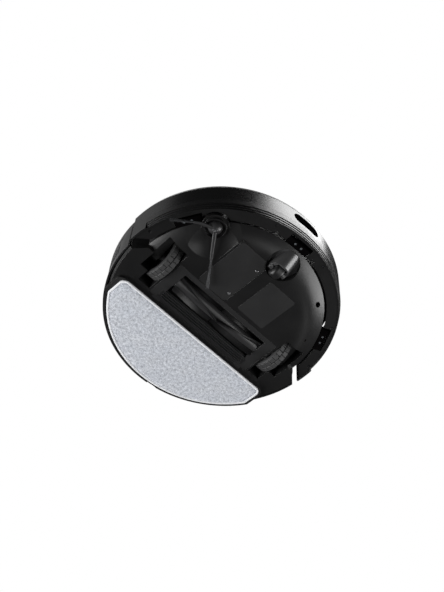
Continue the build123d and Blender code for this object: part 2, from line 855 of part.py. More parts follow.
side_motor = disc(side_motor_radius, seam_height - 1, side_motor_top, side_brush_x, side_brush_y)
side_motor += disc(side_motor_can_radius, side_motor_top, side_motor_can_top, side_brush_x, side_brush_y)
side_motor -= disc(side_shaft_radius + shaft_fit, 0, side_shaft_top + 1, side_brush_x, side_brush_y)
write("side_brush_motor", side_motor)

# ---- main brush ----------------------------------------------------------------------------------
core_half = mouth_half_width - moving_gap
core = rod_x(brush_core_radius, -core_half, core_half, brush_y, brush_z)
for side in (-1, 1):
    shaft_end = side * (core_half + core_end_gap)
    core += rod_x(brush_shaft_radius, side * (core_half - 1), shaft_end, brush_y, brush_z)


def blade_slice(x, angle):
    """Section of one blade at a place along the brush, standing out of the core."""
    height = brush_radius - brush_core_radius + 1.0
    plan = Plane(origin=(x, brush_y, brush_z), x_dir=(0, 1, 0), z_dir=(1, 0, 0))
    spot = Rot(0, 0, angle) * Pos(brush_core_radius - 1.0 + height / 2, 0)
    return plan * spot * Rectangle(height, blade_thickness)


blades = []
for number in range(blade_count):
    base = 360.0 / blade_count * number
    for side in (-1, 1):
        reach = core_half - 1.0
        slices = []
        for step in range(blade_slices):
            share = step / (blade_slices - 1)
            x = side * (0.6 + (reach - 0.6) * share)
            slices.append(blade_slice(x, base + blade_sweep * share))
        blades.append(loft(slices) - core)
write("brush_core", core)
write("brush_blades", *[single(blade) for blade in blades])

bearings = []
bearing_end = core_half + bearing_end_gap
for side in (-1, 1):
    bearing_start = bearing_end - bearing_length
    bearing = rod_x(bearing_radius, side * bearing_start, side * bearing_end, brush_y, brush_z)
    bearings.append(bearing - rod_x(brush_shaft_radius + shaft_fit, -far, far, brush_y, brush_z))
write("brush_bearings", *bearings)


def make_brush_housing():
    """Tunnel over the main brush, with its bearing seats and the throat to the duct."""
    floor = belly_height + plate
    outer_end = bearing_end + thin_wall
    roof = brush_z + brush_tunnel_radius + thin_wall
    flange_half = guard_half_width + thin_wall
    house = box(-outer_end, outer_end, mouth_rear - 0.4, mouth_front + 1.2, floor, roof)
    house += box(-flange_half, flange_half, guard_rear - 2.0, guard_front + 2.0, floor, floor + 1.8)
    house -= rod_x(brush_tunnel_radius, -mouth_half_width, mouth_half_width, brush_y, brush_z)
    house -= box(
        -mouth_half_width, mouth_half_width, brush_y - brush_tunnel_radius, brush_y + brush_tunnel_radius,
        0, brush_z,
    )
    reach = bearing_end + touch
    seat = bearing_radius + touch
    house -= rod_x(seat, -reach, reach, brush_y, brush_z)
    house -= box(-reach, reach, brush_y - seat, brush_y + seat, 0, brush_z)
    house -= box(-throat_half_width, throat_half_width, throat_rear, throat_front, brush_z, far)
    clip_top = belly_height + 2 * plate
    for plan in clip_plan(clearance):
        house -= raised(plan, 0, clip_top)
    return single(house)


write("brush_housing", make_brush_housing())


def make_duct():
    """Hollow elbow from the throat back to the dust box."""
    base = brush_z + brush_tunnel_radius + thin_wall
    outer_x = throat_half_width + thin_wall
    top = base + duct_height + 2 * thin_wall
    rear = tank_front + moving_gap + clearance
    shape = box(-outer_x, outer_x, rear, throat_front + thin_wall, base, top)
    shape -= box(
        -throat_half_width, throat_half_width, rear - 1, throat_front, base + thin_wall, top - thin_wall,
    )
    shape -= box(
        -throat_half_width, throat_half_width, throat_rear, throat_front, base - 1, base + 2 * thin_wall,
    )
    return shape


write("suction_duct", make_duct())
write("brush_motor", rod_x(drive_radius, drive_x0, drive_x1, drive_y, drive_z))

# ---- guard, wiper strip and clips ----------------------------------------------------------------
guard_top = belly_height + guard_thickness
guard = box(-guard_half_width, guard_half_width, guard_rear, guard_front, belly_height, guard_top)
guard -= box(-mouth_half_width, mouth_half_width, mouth_rear, mouth_front, 0, far)
guard -= box(-strip_half_width, strip_half_width, strip_rear, strip_front, 0, belly_height + 0.8)
guard += box(
    -mouth_half_width - 1, mouth_half_width + 1, mouth_front, mouth_front + guard_lip,
    belly_height - guard_lip_drop, belly_height + 0.1,
)
write("brush_guard", guard)

strip = box(
    -strip_half_width, strip_half_width, strip_rear, strip_front, belly_height - 0.2, belly_height + 0.8,
)
for back in strip_rib_backs:
    y = strip_front - back
    strip += box(
        -strip_half_width + 4, strip_half_width - 4, y - strip_rib_width / 2, y + strip_rib_width / 2,
        belly_height - strip_rib_drop, belly_height,
    )
write("wiper_strip", strip)
write("guard_clips", *[raised(plan, belly_height + 0.2, guard_top) for plan in clip_plan(-touch)])


# ---- battery, label and board --------------------------------------------------------------------
door_top = belly_height + door_thickness - touch
door = raised(rounded(door_x0, door_x1, door_y0, door_y1, door_corner), belly_height, door_top)
door -= disc(caster_recess_radius + caster_liner + clearance, 0, far, 0, caster_y)
door_screws = []
for y in door_screw_ys:
    door -= disc(door_screw_radius, 0, far, door_screw_x, y)
    head = disc(door_screw_radius - touch, belly_height - 0.4, door_top, door_screw_x, y)
    for turn in (0, 90):
        head -= Pos(door_screw_x, y, belly_height - 0.4) * Rot(0, 0, turn) * Box(3.0, 0.7, 0.8)
    door_screws.append(head)
write("battery_door", door)
write("door_screws", *door_screws)

cell_x = (door_x0 + door_x1) / 2
cell_y = (door_y0 + door_y1) / 2
cell_floor = belly_height + plate + 1.0
pack_plan = Pos(cell_x, cell_y) * Rectangle(4 * cell_radius - 8, cell_length)
pack = raised(pack_plan, cell_floor, cell_floor + 2 * cell_radius)
for x in (cell_x - cell_radius, cell_x + cell_radius):
    pack += Pos(x, cell_y, cell_floor + cell_radius) * Rot(90, 0, 0) * Cylinder(cell_radius, cell_length)
pack += Pos(0, 0, 2 * cell_radius) * pack
write("battery_pack", pack)

label = rounded(label_x0, label_x1, label_y0, label_y1, 3.0)
write("label_plate", raised(label, belly_height - label_thickness, belly_height))

board_top = board_height + board_thickness
board = box(-board_half_width, board_half_width, board_rear, board_front, board_height, board_top)
for x, y, length, depth, height in board_parts:
    board += box(x, x + length, y, y + depth, board_top, board_top + height)
write("main_board", board)


# ---- wheels --------------------------------------------------------------------------------------
arm_x0 = wheel_x + tyre_width / 2 + arm_gap
arm_x1 = arm_x0 + arm_thickness


def make_wheel_housing():
    """Tub over the wheel, with the pin on which its arm swings."""
    floor = belly_height + plate
    tub = raised(well_plan(thin_wall), floor, well_top + thin_wall)
    tub -= raised(well_plan(), 0, well_top)
    pin = rod_x(pivot_pin_radius, arm_x0 - 1.0, well_wide_outer + touch, arm_pivot_y, arm_pivot_z)
    return single(tub + pin)


def make_wheel_arm():
    """Swinging arm between the pivot and the wheel's shaft, with a seat for the motor."""
    across = sqrt((arm_pivot_y - wheel_y) ** 2 + (arm_pivot_z - wheel_radius) ** 2)
    side_plane = Plane(origin=(arm_x0, 0, 0), x_dir=(0, 1, 0), z_dir=(1, 0, 0))
    unit_y = (arm_pivot_y - wheel_y) / across
    unit_z = (arm_pivot_z - wheel_radius) / across
    corners = [
        (wheel_y - unit_z * arm_end_radius, wheel_radius + unit_y * arm_end_radius),
        (arm_pivot_y - unit_z * arm_pivot_radius, arm_pivot_z + unit_y * arm_pivot_radius),
        (arm_pivot_y + unit_z * arm_pivot_radius, arm_pivot_z - unit_y * arm_pivot_radius),
        (wheel_y + unit_z * arm_end_radius, wheel_radius - unit_y * arm_end_radius),
    ]
    plan = make_face(Polyline(*corners, close=True))
    plan += Pos(wheel_y, wheel_radius) * Circle(arm_end_radius)
    plan += Pos(arm_pivot_y, arm_pivot_z) * Circle(arm_pivot_radius)
    plan += Pos(motor_y, motor_z) * Circle(motor_radius + motor_shell)
    arm = extrude(side_plane * plan, arm_thickness)
    arm -= rod_x(pivot_pin_radius + shaft_fit, 0, far, arm_pivot_y, arm_pivot_z)
    arm -= rod_x(wheel_shaft_radius + shaft_fit, 0, far, wheel_y, wheel_radius)
    arm -= rod_x(motor_radius, 0, far, motor_y, motor_z)
    rim_cut = rod_x(arm_end_radius - arm_rim, arm_x1 - 2.0, far, wheel_y, wheel_radius)
    rim_cut -= rod_x(2 * wheel_shaft_radius, 0, far, wheel_y, wheel_radius)
    return single(arm - rim_cut)


def make_wheel_motor():
    return rod_x(motor_radius, arm_x0 - motor_proud, arm_x1 + motor_proud, motor_y, motor_z)


def make_tyre():
    """Rubber tyre with a groove round its middle."""
    rim_radius = wheel_radius - tyre_depth
    half = tyre_width / 2
    tyre = rod_x(wheel_radius, wheel_x - half, wheel_x + half, wheel_y, wheel_radius)
    tyre = chamfer(tyre.edges(), tyre_chamfer)
    tyre -= rod_x(rim_radius, 0, far, wheel_y, wheel_radius)
    half_groove = tyre_groove_width / 2
    groove = rod_x(wheel_radius + 1, wheel_x - half_groove, wheel_x + half_groove, wheel_y, wheel_radius)
    groove -= rod_x(wheel_radius - tyre_groove, 0, far, wheel_y, wheel_radius)
    return tyre - groove


def make_wheel_hub():
    """Spoked wheel with its shaft."""
    rim_radius = wheel_radius - tyre_depth
    half = tyre_width / 2 - hub_side_gap
    hub = rod_x(rim_radius, wheel_x - half, wheel_x + half, wheel_y, wheel_radius)
    dish = rod_x(rim_radius - hub_rim, wheel_x + hub_web / 2, far, wheel_y, wheel_radius)
    dish += rod_x(rim_radius - hub_rim, 0, wheel_x - hub_web / 2, wheel_y, wheel_radius)
    dish -= rod_x(hub_boss_radius, 0, far, wheel_y, wheel_radius)
    hub -= dish
    for number in range(spoke_holes):
        angle = radians(360 / spoke_holes * number)
        y = wheel_y + spoke_circle * cos(angle)
        z = wheel_radius + spoke_circle * sin(angle)
        hub -= rod_x(spoke_hole_radius, 0, far, y, z)
    hub += rod_x(wheel_shaft_radius, wheel_x, arm_x1 - 1.0, wheel_y, wheel_radius)
    return single(hub)


both_sides("wheel_housing", make_wheel_housing, chassis)
both_sides("wheel_arm", make_wheel_arm)
both_sides("wheel_motor", make_wheel_motor)
both_sides("tyre", make_tyre)
both_sides("wheel_hub", make_wheel_hub)

# ---- caster --------------------------------------------------------------------------------------
turret_radius = caster_recess_radius - turret_gap
axle_y = caster_y - caster_trail
axle_z = caster_wheel_radius

liner_radius = caster_recess_radius + caster_liner
socket = tube(caster_recess_radius, liner_radius, belly_height, socket_top, 0, caster_y)
socket += disc(liner_radius, socket_top - 2.0, socket_top, 0, caster_y)
socket += disc(stem_radius + 3.0, socket_top - 1, socket_top + 8.0, 0, caster_y)
socket -= disc(stem_radius + shaft_fit, 0, far, 0, caster_y)
socket -= disc(far / 2, 0, slope_top) - chassis_mass()
socket -= chassis
socket &= disc(front_radius - plate - touch, 0, far)
write("caster_socket", single(socket))


def make_turret():
    """Swivelling caster fork: base, hood with its ridge, and cheeks for the axle."""
    run = Vector(0, hood_ridge_rear[0] - hood_ridge_front[0], hood_ridge_rear[1] - hood_ridge_front[1])
    run = run.normalized()
    inward = Vector(0, run.Z, -run.Y)
    centre = Vector(0, *hood_ridge_front) + inward * hood_radius - run * 30
    tunnel = Plane(origin=centre, x_dir=(1, 0, 0), z_dir=run)
    hood = extrude(tunnel * Circle(hood_radius), 70)
    hood &= disc(turret_radius, 0, turret_top - 6, 0, caster_y)
    mouth_line = Vector(0, axle_y - hood_ridge_rear[0], axle_z - hood_ridge_rear[1]).normalized()
    mouth = Plane(origin=(0, *hood_ridge_rear), x_dir=(1, 0, 0), z_dir=(0, -mouth_line.Z, mouth_line.Y))
    hood -= extrude(mouth * Rectangle(far, far), 60)
    base = disc(turret_radius, turret_bottom, turret_top, 0, caster_y)
    cheek_end = hood_radius - 1
    cheeks = rod_x(cheek_radius, -cheek_end, cheek_end, axle_y, axle_z)
    cheeks += box(
        -cheek_end, cheek_end, axle_y - cheek_radius, axle_y + cheek_radius, axle_z, turret_bottom + 1,
    )
    turret = hood + base + cheeks
    half_slot = caster_wheel_width / 2 + moving_gap
    slot_radius = caster_wheel_radius + 1.6
    turret -= rod_x(slot_radius, -half_slot, half_slot, axle_y, axle_z)
    turret -= box(-half_slot, half_slot, axle_y - slot_radius, axle_y, 0, axle_z)
    turret -= rod_x(caster_pin_radius, -far, far, axle_y, axle_z)
    turret += disc(stem_radius, turret_top, socket_top + 7.0, 0, caster_y)
    return single(turret)


write("caster_turret", make_turret())
pin_half = hood_radius - 0.4
write("caster_axle", rod_x(caster_pin_radius, -pin_half, pin_half, axle_y, axle_z))
half_caster = caster_wheel_width / 2
caster_wheel = rod_x(caster_wheel_radius, -half_caster, half_caster, axle_y, axle_z)
caster_wheel = fillet(caster_wheel.edges(), caster_wheel_round)
caster_wheel -= rod_x(caster_pin_radius + shaft_fit, -far, far, axle_y, axle_z)
write("caster_wheel", caster_wheel)


# ---- mop -----------------------------------------------------------------------------------------
def half_moon(radius, half_width, front, corner):
    """Half-moon plan with a straight front edge, short sides and a round rear."""
    moon = Circle(radius) & (Pos(0, front - far / 2) * Rectangle(2 * half_width, far))
    return fillet(moon.vertices().group_by(Axis.Y)[-1], corner)


moon = half_moon(mop_plate_radius, mop_plate_half_width, mop_plate_front, pad_corner + 1)
mop_plate = raised(moon, mop_plate_bottom, mop_plate_top)
notch = Box(plate_notch_width, 2 * plate_notch_depth, 2 * plate_notch_height)
mop_plate -= Pos(plate_notch_x, -mop_plate_radius, mop_plate_bottom) * notch
write("mop_plate", mop_plate)
write("mop_pad", raised(half_moon(pad_radius, pad_half_width, pad_front, pad_corner), 0, mop_plate_bottom))

# ---- tank, filter and latch ----------------------------------------------------------------------
tank_body = box(-tank_half_width, tank_half_width, -far, tank_front, tank_bottom, tank_top) & rear_disc()
inner_half = tank_half_width - tank_wall
inner_front = tank_front - tank_wall
water = box(-inner_half, inner_half, -far, inner_front, tank_bottom + tank_wall, tank_partition)
dust_floor = tank_partition + tank_wall
dust = box(-inner_half, inner_half, -far, inner_front, dust_floor, tank_top - tank_wall)
hollows = (water + dust) & rear_disc(2 * tank_wall)
inlet = box(
    -throat_half_width, throat_half_width, tank_front - 5, tank_front + 1,
    inlet_bottom, inlet_bottom + duct_height,
)
port = box(-tank_half_width - 1, -inner_half + 1, port_rear, port_front, port_bottom, port_top)
latch_pocket = box(
    -latch_half_width, latch_half_width, -far, latch_depth - disc_radius,
    latch_bottom, latch_bottom + latch_height,
)
pocket_wall = box(
    -latch_half_width - tank_wall, latch_half_width + tank_wall, -disc_radius,
    latch_depth + tank_wall - disc_radius,
    latch_bottom - tank_wall, latch_bottom + latch_height + tank_wall,
) & rear_disc(1.0)
tank = tank_body - hollows - inlet - port + pocket_wall - latch_pocket
write("dust_water_tank", single(tank))

filter_frame = box(
    -inner_half + 0.1, -inner_half + filter_depth, port_rear - filter_overlap, port_front + filter_overlap,
    dust_floor + 0.1, filter_frame_top,
)
for number in range(filter_ribs):
    y = port_rear + filter_overlap + number * filter_pitch
    filter_frame -= box(
        -inner_half + 3, -inner_half + filter_depth + 1, y, y + filter_pitch / 2, port_bottom - 1, port_top,
    )
write("dust_filter", filter_frame)
latch_half = latch_half_width - clearance
latch = box(
    -latch_half, latch_half, -far, latch_depth - latch_travel - clearance - disc_radius,
    latch_bottom + clearance, latch_bottom + latch_height - clearance,
) & rear_disc(clearance)
write("tank_latch", single(latch))

# ---- fan -----------------------------------------------------------------------------------------
fan_house = tube(fan_radius - thin_wall, fan_radius, fan_bottom, fan_top, fan_x, fan_y)
fan_house += tube(fan_hub_radius, fan_radius, fan_bottom, fan_bottom + thin_wall, fan_x, fan_y)
fan_house += disc(fan_radius, fan_top - thin_wall, fan_top, fan_x, fan_y)
fan_house += disc(fan_hub_radius, fan_top - fan_boss, fan_top, fan_x, fan_y)
fan_house -= disc(fan_shaft_radius + shaft_fit, 0, far, fan_x, fan_y)
write("fan_housing", fan_house)
plate_z = fan_bottom + impeller_plate
impeller = disc(fan_radius - impeller_gap, plate_z, plate_z + thin_wall, fan_x, fan_y)
impeller += disc(fan_shaft_radius, fan_bottom + impeller_low, fan_top - 2, fan_x, fan_y)
impeller += disc(impeller_hub_radius, fan_bottom + impeller_low, plate_z + 1, fan_x, fan_y)
for number in range(vanes):
    vane = Pos(fan_radius / 2 + 0.5, 0, plate_z - 4) * Rot(0, 0, vane_turn) * Box(*vane_size)
    impeller += Pos(fan_x, fan_y, 0) * Rot(0, 0, 360 / vanes * number) * vane
write("fan_impeller", single(impeller))
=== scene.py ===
import math

import bmesh
import bpy
from mathutils import Matrix, Vector, geometry, noise


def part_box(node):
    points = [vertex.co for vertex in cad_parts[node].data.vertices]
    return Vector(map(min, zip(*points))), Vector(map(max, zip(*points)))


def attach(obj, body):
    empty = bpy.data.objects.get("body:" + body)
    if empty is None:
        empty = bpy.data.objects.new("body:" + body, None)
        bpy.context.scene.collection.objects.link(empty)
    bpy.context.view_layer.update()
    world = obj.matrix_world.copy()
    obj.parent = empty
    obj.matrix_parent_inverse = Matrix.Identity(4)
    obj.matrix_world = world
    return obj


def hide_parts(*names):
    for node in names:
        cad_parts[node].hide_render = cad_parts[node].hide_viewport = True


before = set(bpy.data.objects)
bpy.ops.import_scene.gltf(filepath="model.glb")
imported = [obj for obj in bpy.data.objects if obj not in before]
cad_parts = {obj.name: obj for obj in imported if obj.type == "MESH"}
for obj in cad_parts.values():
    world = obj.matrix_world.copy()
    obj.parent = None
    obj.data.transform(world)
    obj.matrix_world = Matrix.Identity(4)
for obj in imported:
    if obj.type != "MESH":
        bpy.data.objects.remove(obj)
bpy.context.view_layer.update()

mm = 0.001
collection = bpy.context.scene.collection

# ---- camera ----------------------------------------------------------------------------------------
camera_spot = Vector((0.5494, 0.6201, -1.1260))
camera_azimuth = math.radians(138.5)
camera_elevation = math.radians(-55.0)
camera_roll = math.radians(4.93)
camera_lens = 57.82

level_right = Vector((math.cos(camera_azimuth), math.sin(camera_azimuth), 0.0))
camera_back = Vector((
    math.sin(camera_azimuth) * math.cos(camera_elevation),
    -math.cos(camera_azimuth) * math.cos(camera_elevation),
    math.sin(camera_elevation),
))
level_up = camera_back.cross(level_right)
camera_right = level_right * math.cos(camera_roll) + level_up * math.sin(camera_roll)
camera_up = camera_back.cross(camera_right)
camera_data = bpy.data.cameras.new("studio_camera")
camera_data.lens = camera_lens
camera_data.sensor_width = 36.0
camera = bpy.data.objects.new("studio_camera", camera_data)
collection.objects.link(camera)
turn = Matrix((camera_right, camera_up, camera_back)).transposed()
camera.matrix_world = Matrix.Translation(camera_spot) @ turn.to_4x4()
bpy.context.scene.camera = camera


# ---- node helpers ----------------------------------------------------------------------------------
def add(tree, kind, values=None, **settings):
    """A new node with its settings and socket values."""
    node = tree.nodes.new(kind)
    for key, value in settings.items():
        setattr(node, key, value)
    for socket, value in (values or {}).items():
        node.inputs[socket].default_value = value
    return node


def feed(tree, socket, value):
    """Links or sets one input."""
    if isinstance(value, bpy.types.NodeSocket):
        tree.links.new(value, socket)
    else:
        socket.default_value = value


def maths(tree, operation, first, second=0.0, third=0.0):
    """One Math node's result."""
    node = add(tree, "ShaderNodeMath", operation=operation)
    for socket, value in zip(node.inputs, (first, second, third)):
        feed(tree, socket, value)
    return node.outputs[0]


def blend_colours(tree, factor, first, second):
    """A colour between two, by a mask."""
    node = add(tree, "ShaderNodeMix", data_type="RGBA")
    feed(tree, node.inputs[0], factor)
    feed(tree, node.inputs[6], first if isinstance(first, bpy.types.NodeSocket) else (*first, 1.0))
    feed(tree, node.inputs[7], second if isinstance(second, bpy.types.NodeSocket) else (*second, 1.0))
    return node.outputs[2]


def spread_over(tree, value, low, high):
    """A 0 to 1 value stretched between two limits."""
    node = add(tree, "ShaderNodeMapRange")
    feed(tree, node.inputs["Value"], value)
    node.inputs["To Min"].default_value = low
    node.inputs["To Max"].default_value = high
    return node.outputs[0]


def new_group(name, inputs, outputs):
    """An empty shader group with named sockets, given as (name, kind, value)."""
    group = bpy.data.node_groups.new(name, "ShaderNodeTree")
    for label, kind, value in inputs:
        socket = group.interface.new_socket(label, in_out="INPUT", socket_type="NodeSocket" + kind)
        if value is not None:
            socket.default_value = value
    for label, kind in outputs:
        group.interface.new_socket(label, in_out="OUTPUT", socket_type="NodeSocket" + kind)
    return group, group.nodes.new("NodeGroupInput").outputs, group.nodes.new("NodeGroupOutput").inputs


def place(tree, group, values):
    """Puts a shared group into a material with its own values."""
    node = add(tree, "ShaderNodeGroup", node_tree=group)
    for label, value in values.items():
        feed(tree, node.inputs[label], value)
    return node.outputs


# ---- shared effects --------------------------------------------------------------------------------
def moulded_grain_group():
    """Spark-eroded mould texture and the slow cloudiness of a plastic surface."""
    group, given, result = new_group(
        "moulded_grain",
        [("Vector", "Vector", None), ("Grain Size", "Float", 0.5), ("Cloud Size", "Float", 40.0)],
        [("Height", "Float"), ("Clouds", "Float")],
    )
    grain_scale = maths(group, "DIVIDE", 1000.0, given["Grain Size"])
    cloud_scale = maths(group, "DIVIDE", 1000.0, given["Cloud Size"])
    pits = add(group, "ShaderNodeTexVoronoi", feature="F1")
    group.links.new(given["Vector"], pits.inputs["Vector"])
    group.links.new(grain_scale, pits.inputs["Scale"])
    fine = add(group, "ShaderNodeTexNoise", {"Detail": 3.0, "Roughness": 0.6})
    group.links.new(given["Vector"], fine.inputs["Vector"])
    group.links.new(grain_scale, fine.inputs["Scale"])
    clouds = add(group, "ShaderNodeTexNoise", {"Detail": 4.0, "Roughness": 0.55})
    group.links.new(given["Vector"], clouds.inputs["Vector"])
    group.links.new(cloud_scale, clouds.inputs["Scale"])
    half_pits = maths(group, "MULTIPLY", pits.outputs["Distance"], 0.5)
    group.links.new(maths(group, "ADD", half_pits, fine.outputs[0]), result["Height"])
    group.links.new(clouds.outputs[0], result["Clouds"])
    return group


# How strongly edges lighten: partly wear, partly painted edge highlight.
wear_highlight_strength = 5.0
least_dust = 0.15
tuft_share = 0.55


def edge_wear_highlight_group():
    """Softened edges, and a mask that lightens them: partly wear polish, partly painted edge highlight.
    """
    group, given, result = new_group(
        "edge_wear_highlight",
        [("Vector", "Vector", None), ("Radius", "Float", 0.0004), ("Amount", "Float", 1.0)],
        [("Mask", "Float"), ("Normal", "Vector")],
    )
    soft = add(group, "ShaderNodeBevel", samples=6)
    group.links.new(given["Radius"], soft.inputs["Radius"])
    surface = add(group, "ShaderNodeNewGeometry")
    dot = add(group, "ShaderNodeVectorMath", operation="DOT_PRODUCT")
    group.links.new(soft.outputs[0], dot.inputs[0])
    group.links.new(surface.outputs["Normal"], dot.inputs[1])
    turned_away = maths(group, "SUBTRACT", 1.0, dot.outputs["Value"])
    strong = maths(group, "MULTIPLY", turned_away, wear_highlight_strength)
    patches = add(group, "ShaderNodeTexNoise", {"Scale": 120.0, "Detail": 4.0})
    group.links.new(given["Vector"], patches.inputs["Vector"])
    uneven = spread_over(group, patches.outputs[0], 0.35, 1.2)
    mask = maths(group, "MULTIPLY", maths(group, "MULTIPLY", strong, uneven), given["Amount"])
    group.links.new(maths(group, "MINIMUM", mask, 1.0), result["Mask"])
    group.links.new(soft.outputs[0], result["Normal"])
    return group


def settled_dust_group():
    """A thin haze of dust, thicker where a face looks up."""
    group, given, result = new_group(
        "settled_dust",
        [("Vector", "Vector", None), ("Amount", "Float", 0.1)],
        [("Mask", "Float")],
    )
    surface = add(group, "ShaderNodeNewGeometry")
    parts = add(group, "ShaderNodeSeparateXYZ")
    group.links.new(surface.outputs["Normal"], parts.inputs[0])
    upward = maths(group, "MAXIMUM", parts.outputs["Z"], least_dust)
    haze = add(group, "ShaderNodeTexNoise", {"Scale": 60.0, "Detail": 8.0, "Roughness": 0.7})
    group.links.new(given["Vector"], haze.inputs["Vector"])
    specks = spread_over(group, haze.outputs[0], -0.6, 1.6)
    mask = maths(group, "MULTIPLY", maths(group, "MULTIPLY", specks, upward), given["Amount"])
    clear = maths(group, "MAXIMUM", mask, 0.0)
    group.links.new(maths(group, "MINIMUM", clear, 1.0), result["Mask"])
    return group


def fibre_group():
    """Looped microfibre: fine tufts, longer threads and soft patches between grey and blue-white."""
    group, given, result = new_group(
        "microfibre",
        [("Vector", "Vector", None), ("Tuft Size", "Float", 0.8)],
        [("Tint", "Float"), ("Cool", "Float"), ("Height", "Float")],
    )
    scale = maths(group, "DIVIDE", 1000.0, given["Tuft Size"])
    tufts = add(group, "ShaderNodeTexNoise", {"Detail": 5.0, "Roughness": 0.75, "Distortion": 0.8})
    group.links.new(given["Vector"], tufts.inputs["Vector"])
    group.links.new(scale, tufts.inputs["Scale"])
    loops = add(group, "ShaderNodeTexVoronoi", feature="SMOOTH_F1")
    group.links.new(given["Vector"], loops.inputs["Vector"])
    group.links.new(scale, loops.inputs["Scale"])
    patches = add(group, "ShaderNodeTexNoise", {"Scale": 230.0, "Detail": 4.0, "Roughness": 0.7})
    group.links.new(given["Vector"], patches.inputs["Vector"])
    blotches = add(group, "ShaderNodeTexNoise", {"Scale": 38.0, "Detail": 3.0})
    group.links.new(given["Vector"], blotches.inputs["Vector"])
    tuft_tint = maths(group, "MULTIPLY", tufts.outputs[0], tuft_share)
    patch_tint = maths(group, "MULTIPLY", patches.outputs[0], 1 - tuft_share)
    tint = maths(group, "ADD", tuft_tint, patch_tint)
    group.links.new(spread_over(group, tint, -1.5, 2.6), result["Tint"])
    group.links.new(blotches.outputs[0], result["Cool"])
    height = maths(group, "ADD", tufts.outputs[0], loops.outputs["Distance"])
    group.links.new(height, result["Height"])
    return group


dish_middle = (0.1045, 0.0875, 0.013)
dish_reach = 0.0398
rolled_behind = 0.006
rolled_below = 0.021
belly_facing = -0.9


def rolled_front_group():
    """The belly's front shading normals lean up towards the bumper, so it reads as rolling gently
    instead of breaking at a crease.
    """
    group, given, result = new_group(
        "rolled_front",
        [("Vector", "Vector", None), ("Normal", "Vector", None), ("Start", "Float", 0.117),
         ("End", "Float", 0.162), ("Set Back", "Float", 0.008), ("Lean", "Float", 0.62)],
        [("Normal", "Vector")],
    )
    spot = add(group, "ShaderNodeSeparateXYZ")
    group.links.new(given["Vector"], spot.inputs[0])
    forward = maths(group, "ADD", spot.outputs["Y"], given["Set Back"])
    square_x = maths(group, "MULTIPLY", spot.outputs["X"], spot.outputs["X"])
    square_y = maths(group, "MULTIPLY", forward, forward)
    reach = maths(group, "SQRT", maths(group, "ADD", square_x, square_y))
    rise = add(group, "ShaderNodeMapRange", {3: 0.0}, interpolation_type="SMOOTHSTEP")
    group.links.new(reach, rise.inputs["Value"])
    group.links.new(given["Start"], rise.inputs["From Min"])
    group.links.new(given["End"], rise.inputs["From Max"])
    group.links.new(given["Lean"], rise.inputs["To Max"])
    outward = add(group, "ShaderNodeCombineXYZ", {"Z": -1.0})
    lean = maths(group, "DIVIDE", rise.outputs[0], reach)
    group.links.new(maths(group, "MULTIPLY", spot.outputs["X"], lean), outward.inputs["X"])
    group.links.new(maths(group, "MULTIPLY", forward, lean), outward.inputs["Y"])
    rolled = add(group, "ShaderNodeVectorMath", operation="NORMALIZE")
    group.links.new(outward.outputs[0], rolled.inputs[0])
    facing = add(group, "ShaderNodeSeparateXYZ")
    group.links.new(given["Normal"], facing.inputs[0])
    looks_down = maths(group, "LESS_THAN", facing.outputs["Z"], belly_facing)
    in_front = maths(group, "GREATER_THAN", spot.outputs["Y"], rolled_behind)
    low = maths(group, "LESS_THAN", spot.outputs["Z"], rolled_below)
    mask = maths(group, "MULTIPLY", maths(group, "MULTIPLY", looks_down, in_front), low)
    from_dish = add(group, "ShaderNodeVectorMath", {1: dish_middle}, operation="DISTANCE")
    group.links.new(given["Vector"], from_dish.inputs[0])
    beyond_dish = maths(group, "GREATER_THAN", from_dish.outputs["Value"], dish_reach)
    mask = maths(group, "MULTIPLY", mask, beyond_dish)
    chosen = add(group, "ShaderNodeMix", data_type="VECTOR")
    group.links.new(mask, chosen.inputs[0])
    group.links.new(given["Normal"], chosen.inputs[4])
    group.links.new(rolled.outputs[0], chosen.inputs[5])
    group.links.new(chosen.outputs[1], result["Normal"])
    return group


grain_group = moulded_grain_group()
rolled_group = rolled_front_group()
wear_highlight_group = edge_wear_highlight_group()
dust_group = settled_dust_group()
microfibre_group = fibre_group()


# ---- finishes --------------------------------------------------------------------------------------
dust_colour = (0.32, 0.31, 0.29)
deep_black = (0.0085, 0.0085, 0.0088)
roughness_spread = 0.07
polish = 0.08


def new_material(name):
    """An empty node material: its tree, its shader and the Object coordinates."""
    material = bpy.data.materials.new(name)
    material.use_nodes = True
    tree = material.node_tree
    shader = tree.nodes["Principled BSDF"]
    place_on_piece = add(tree, "ShaderNodeTexCoord").outputs["Object"]
    return material, tree, shader, place_on_piece


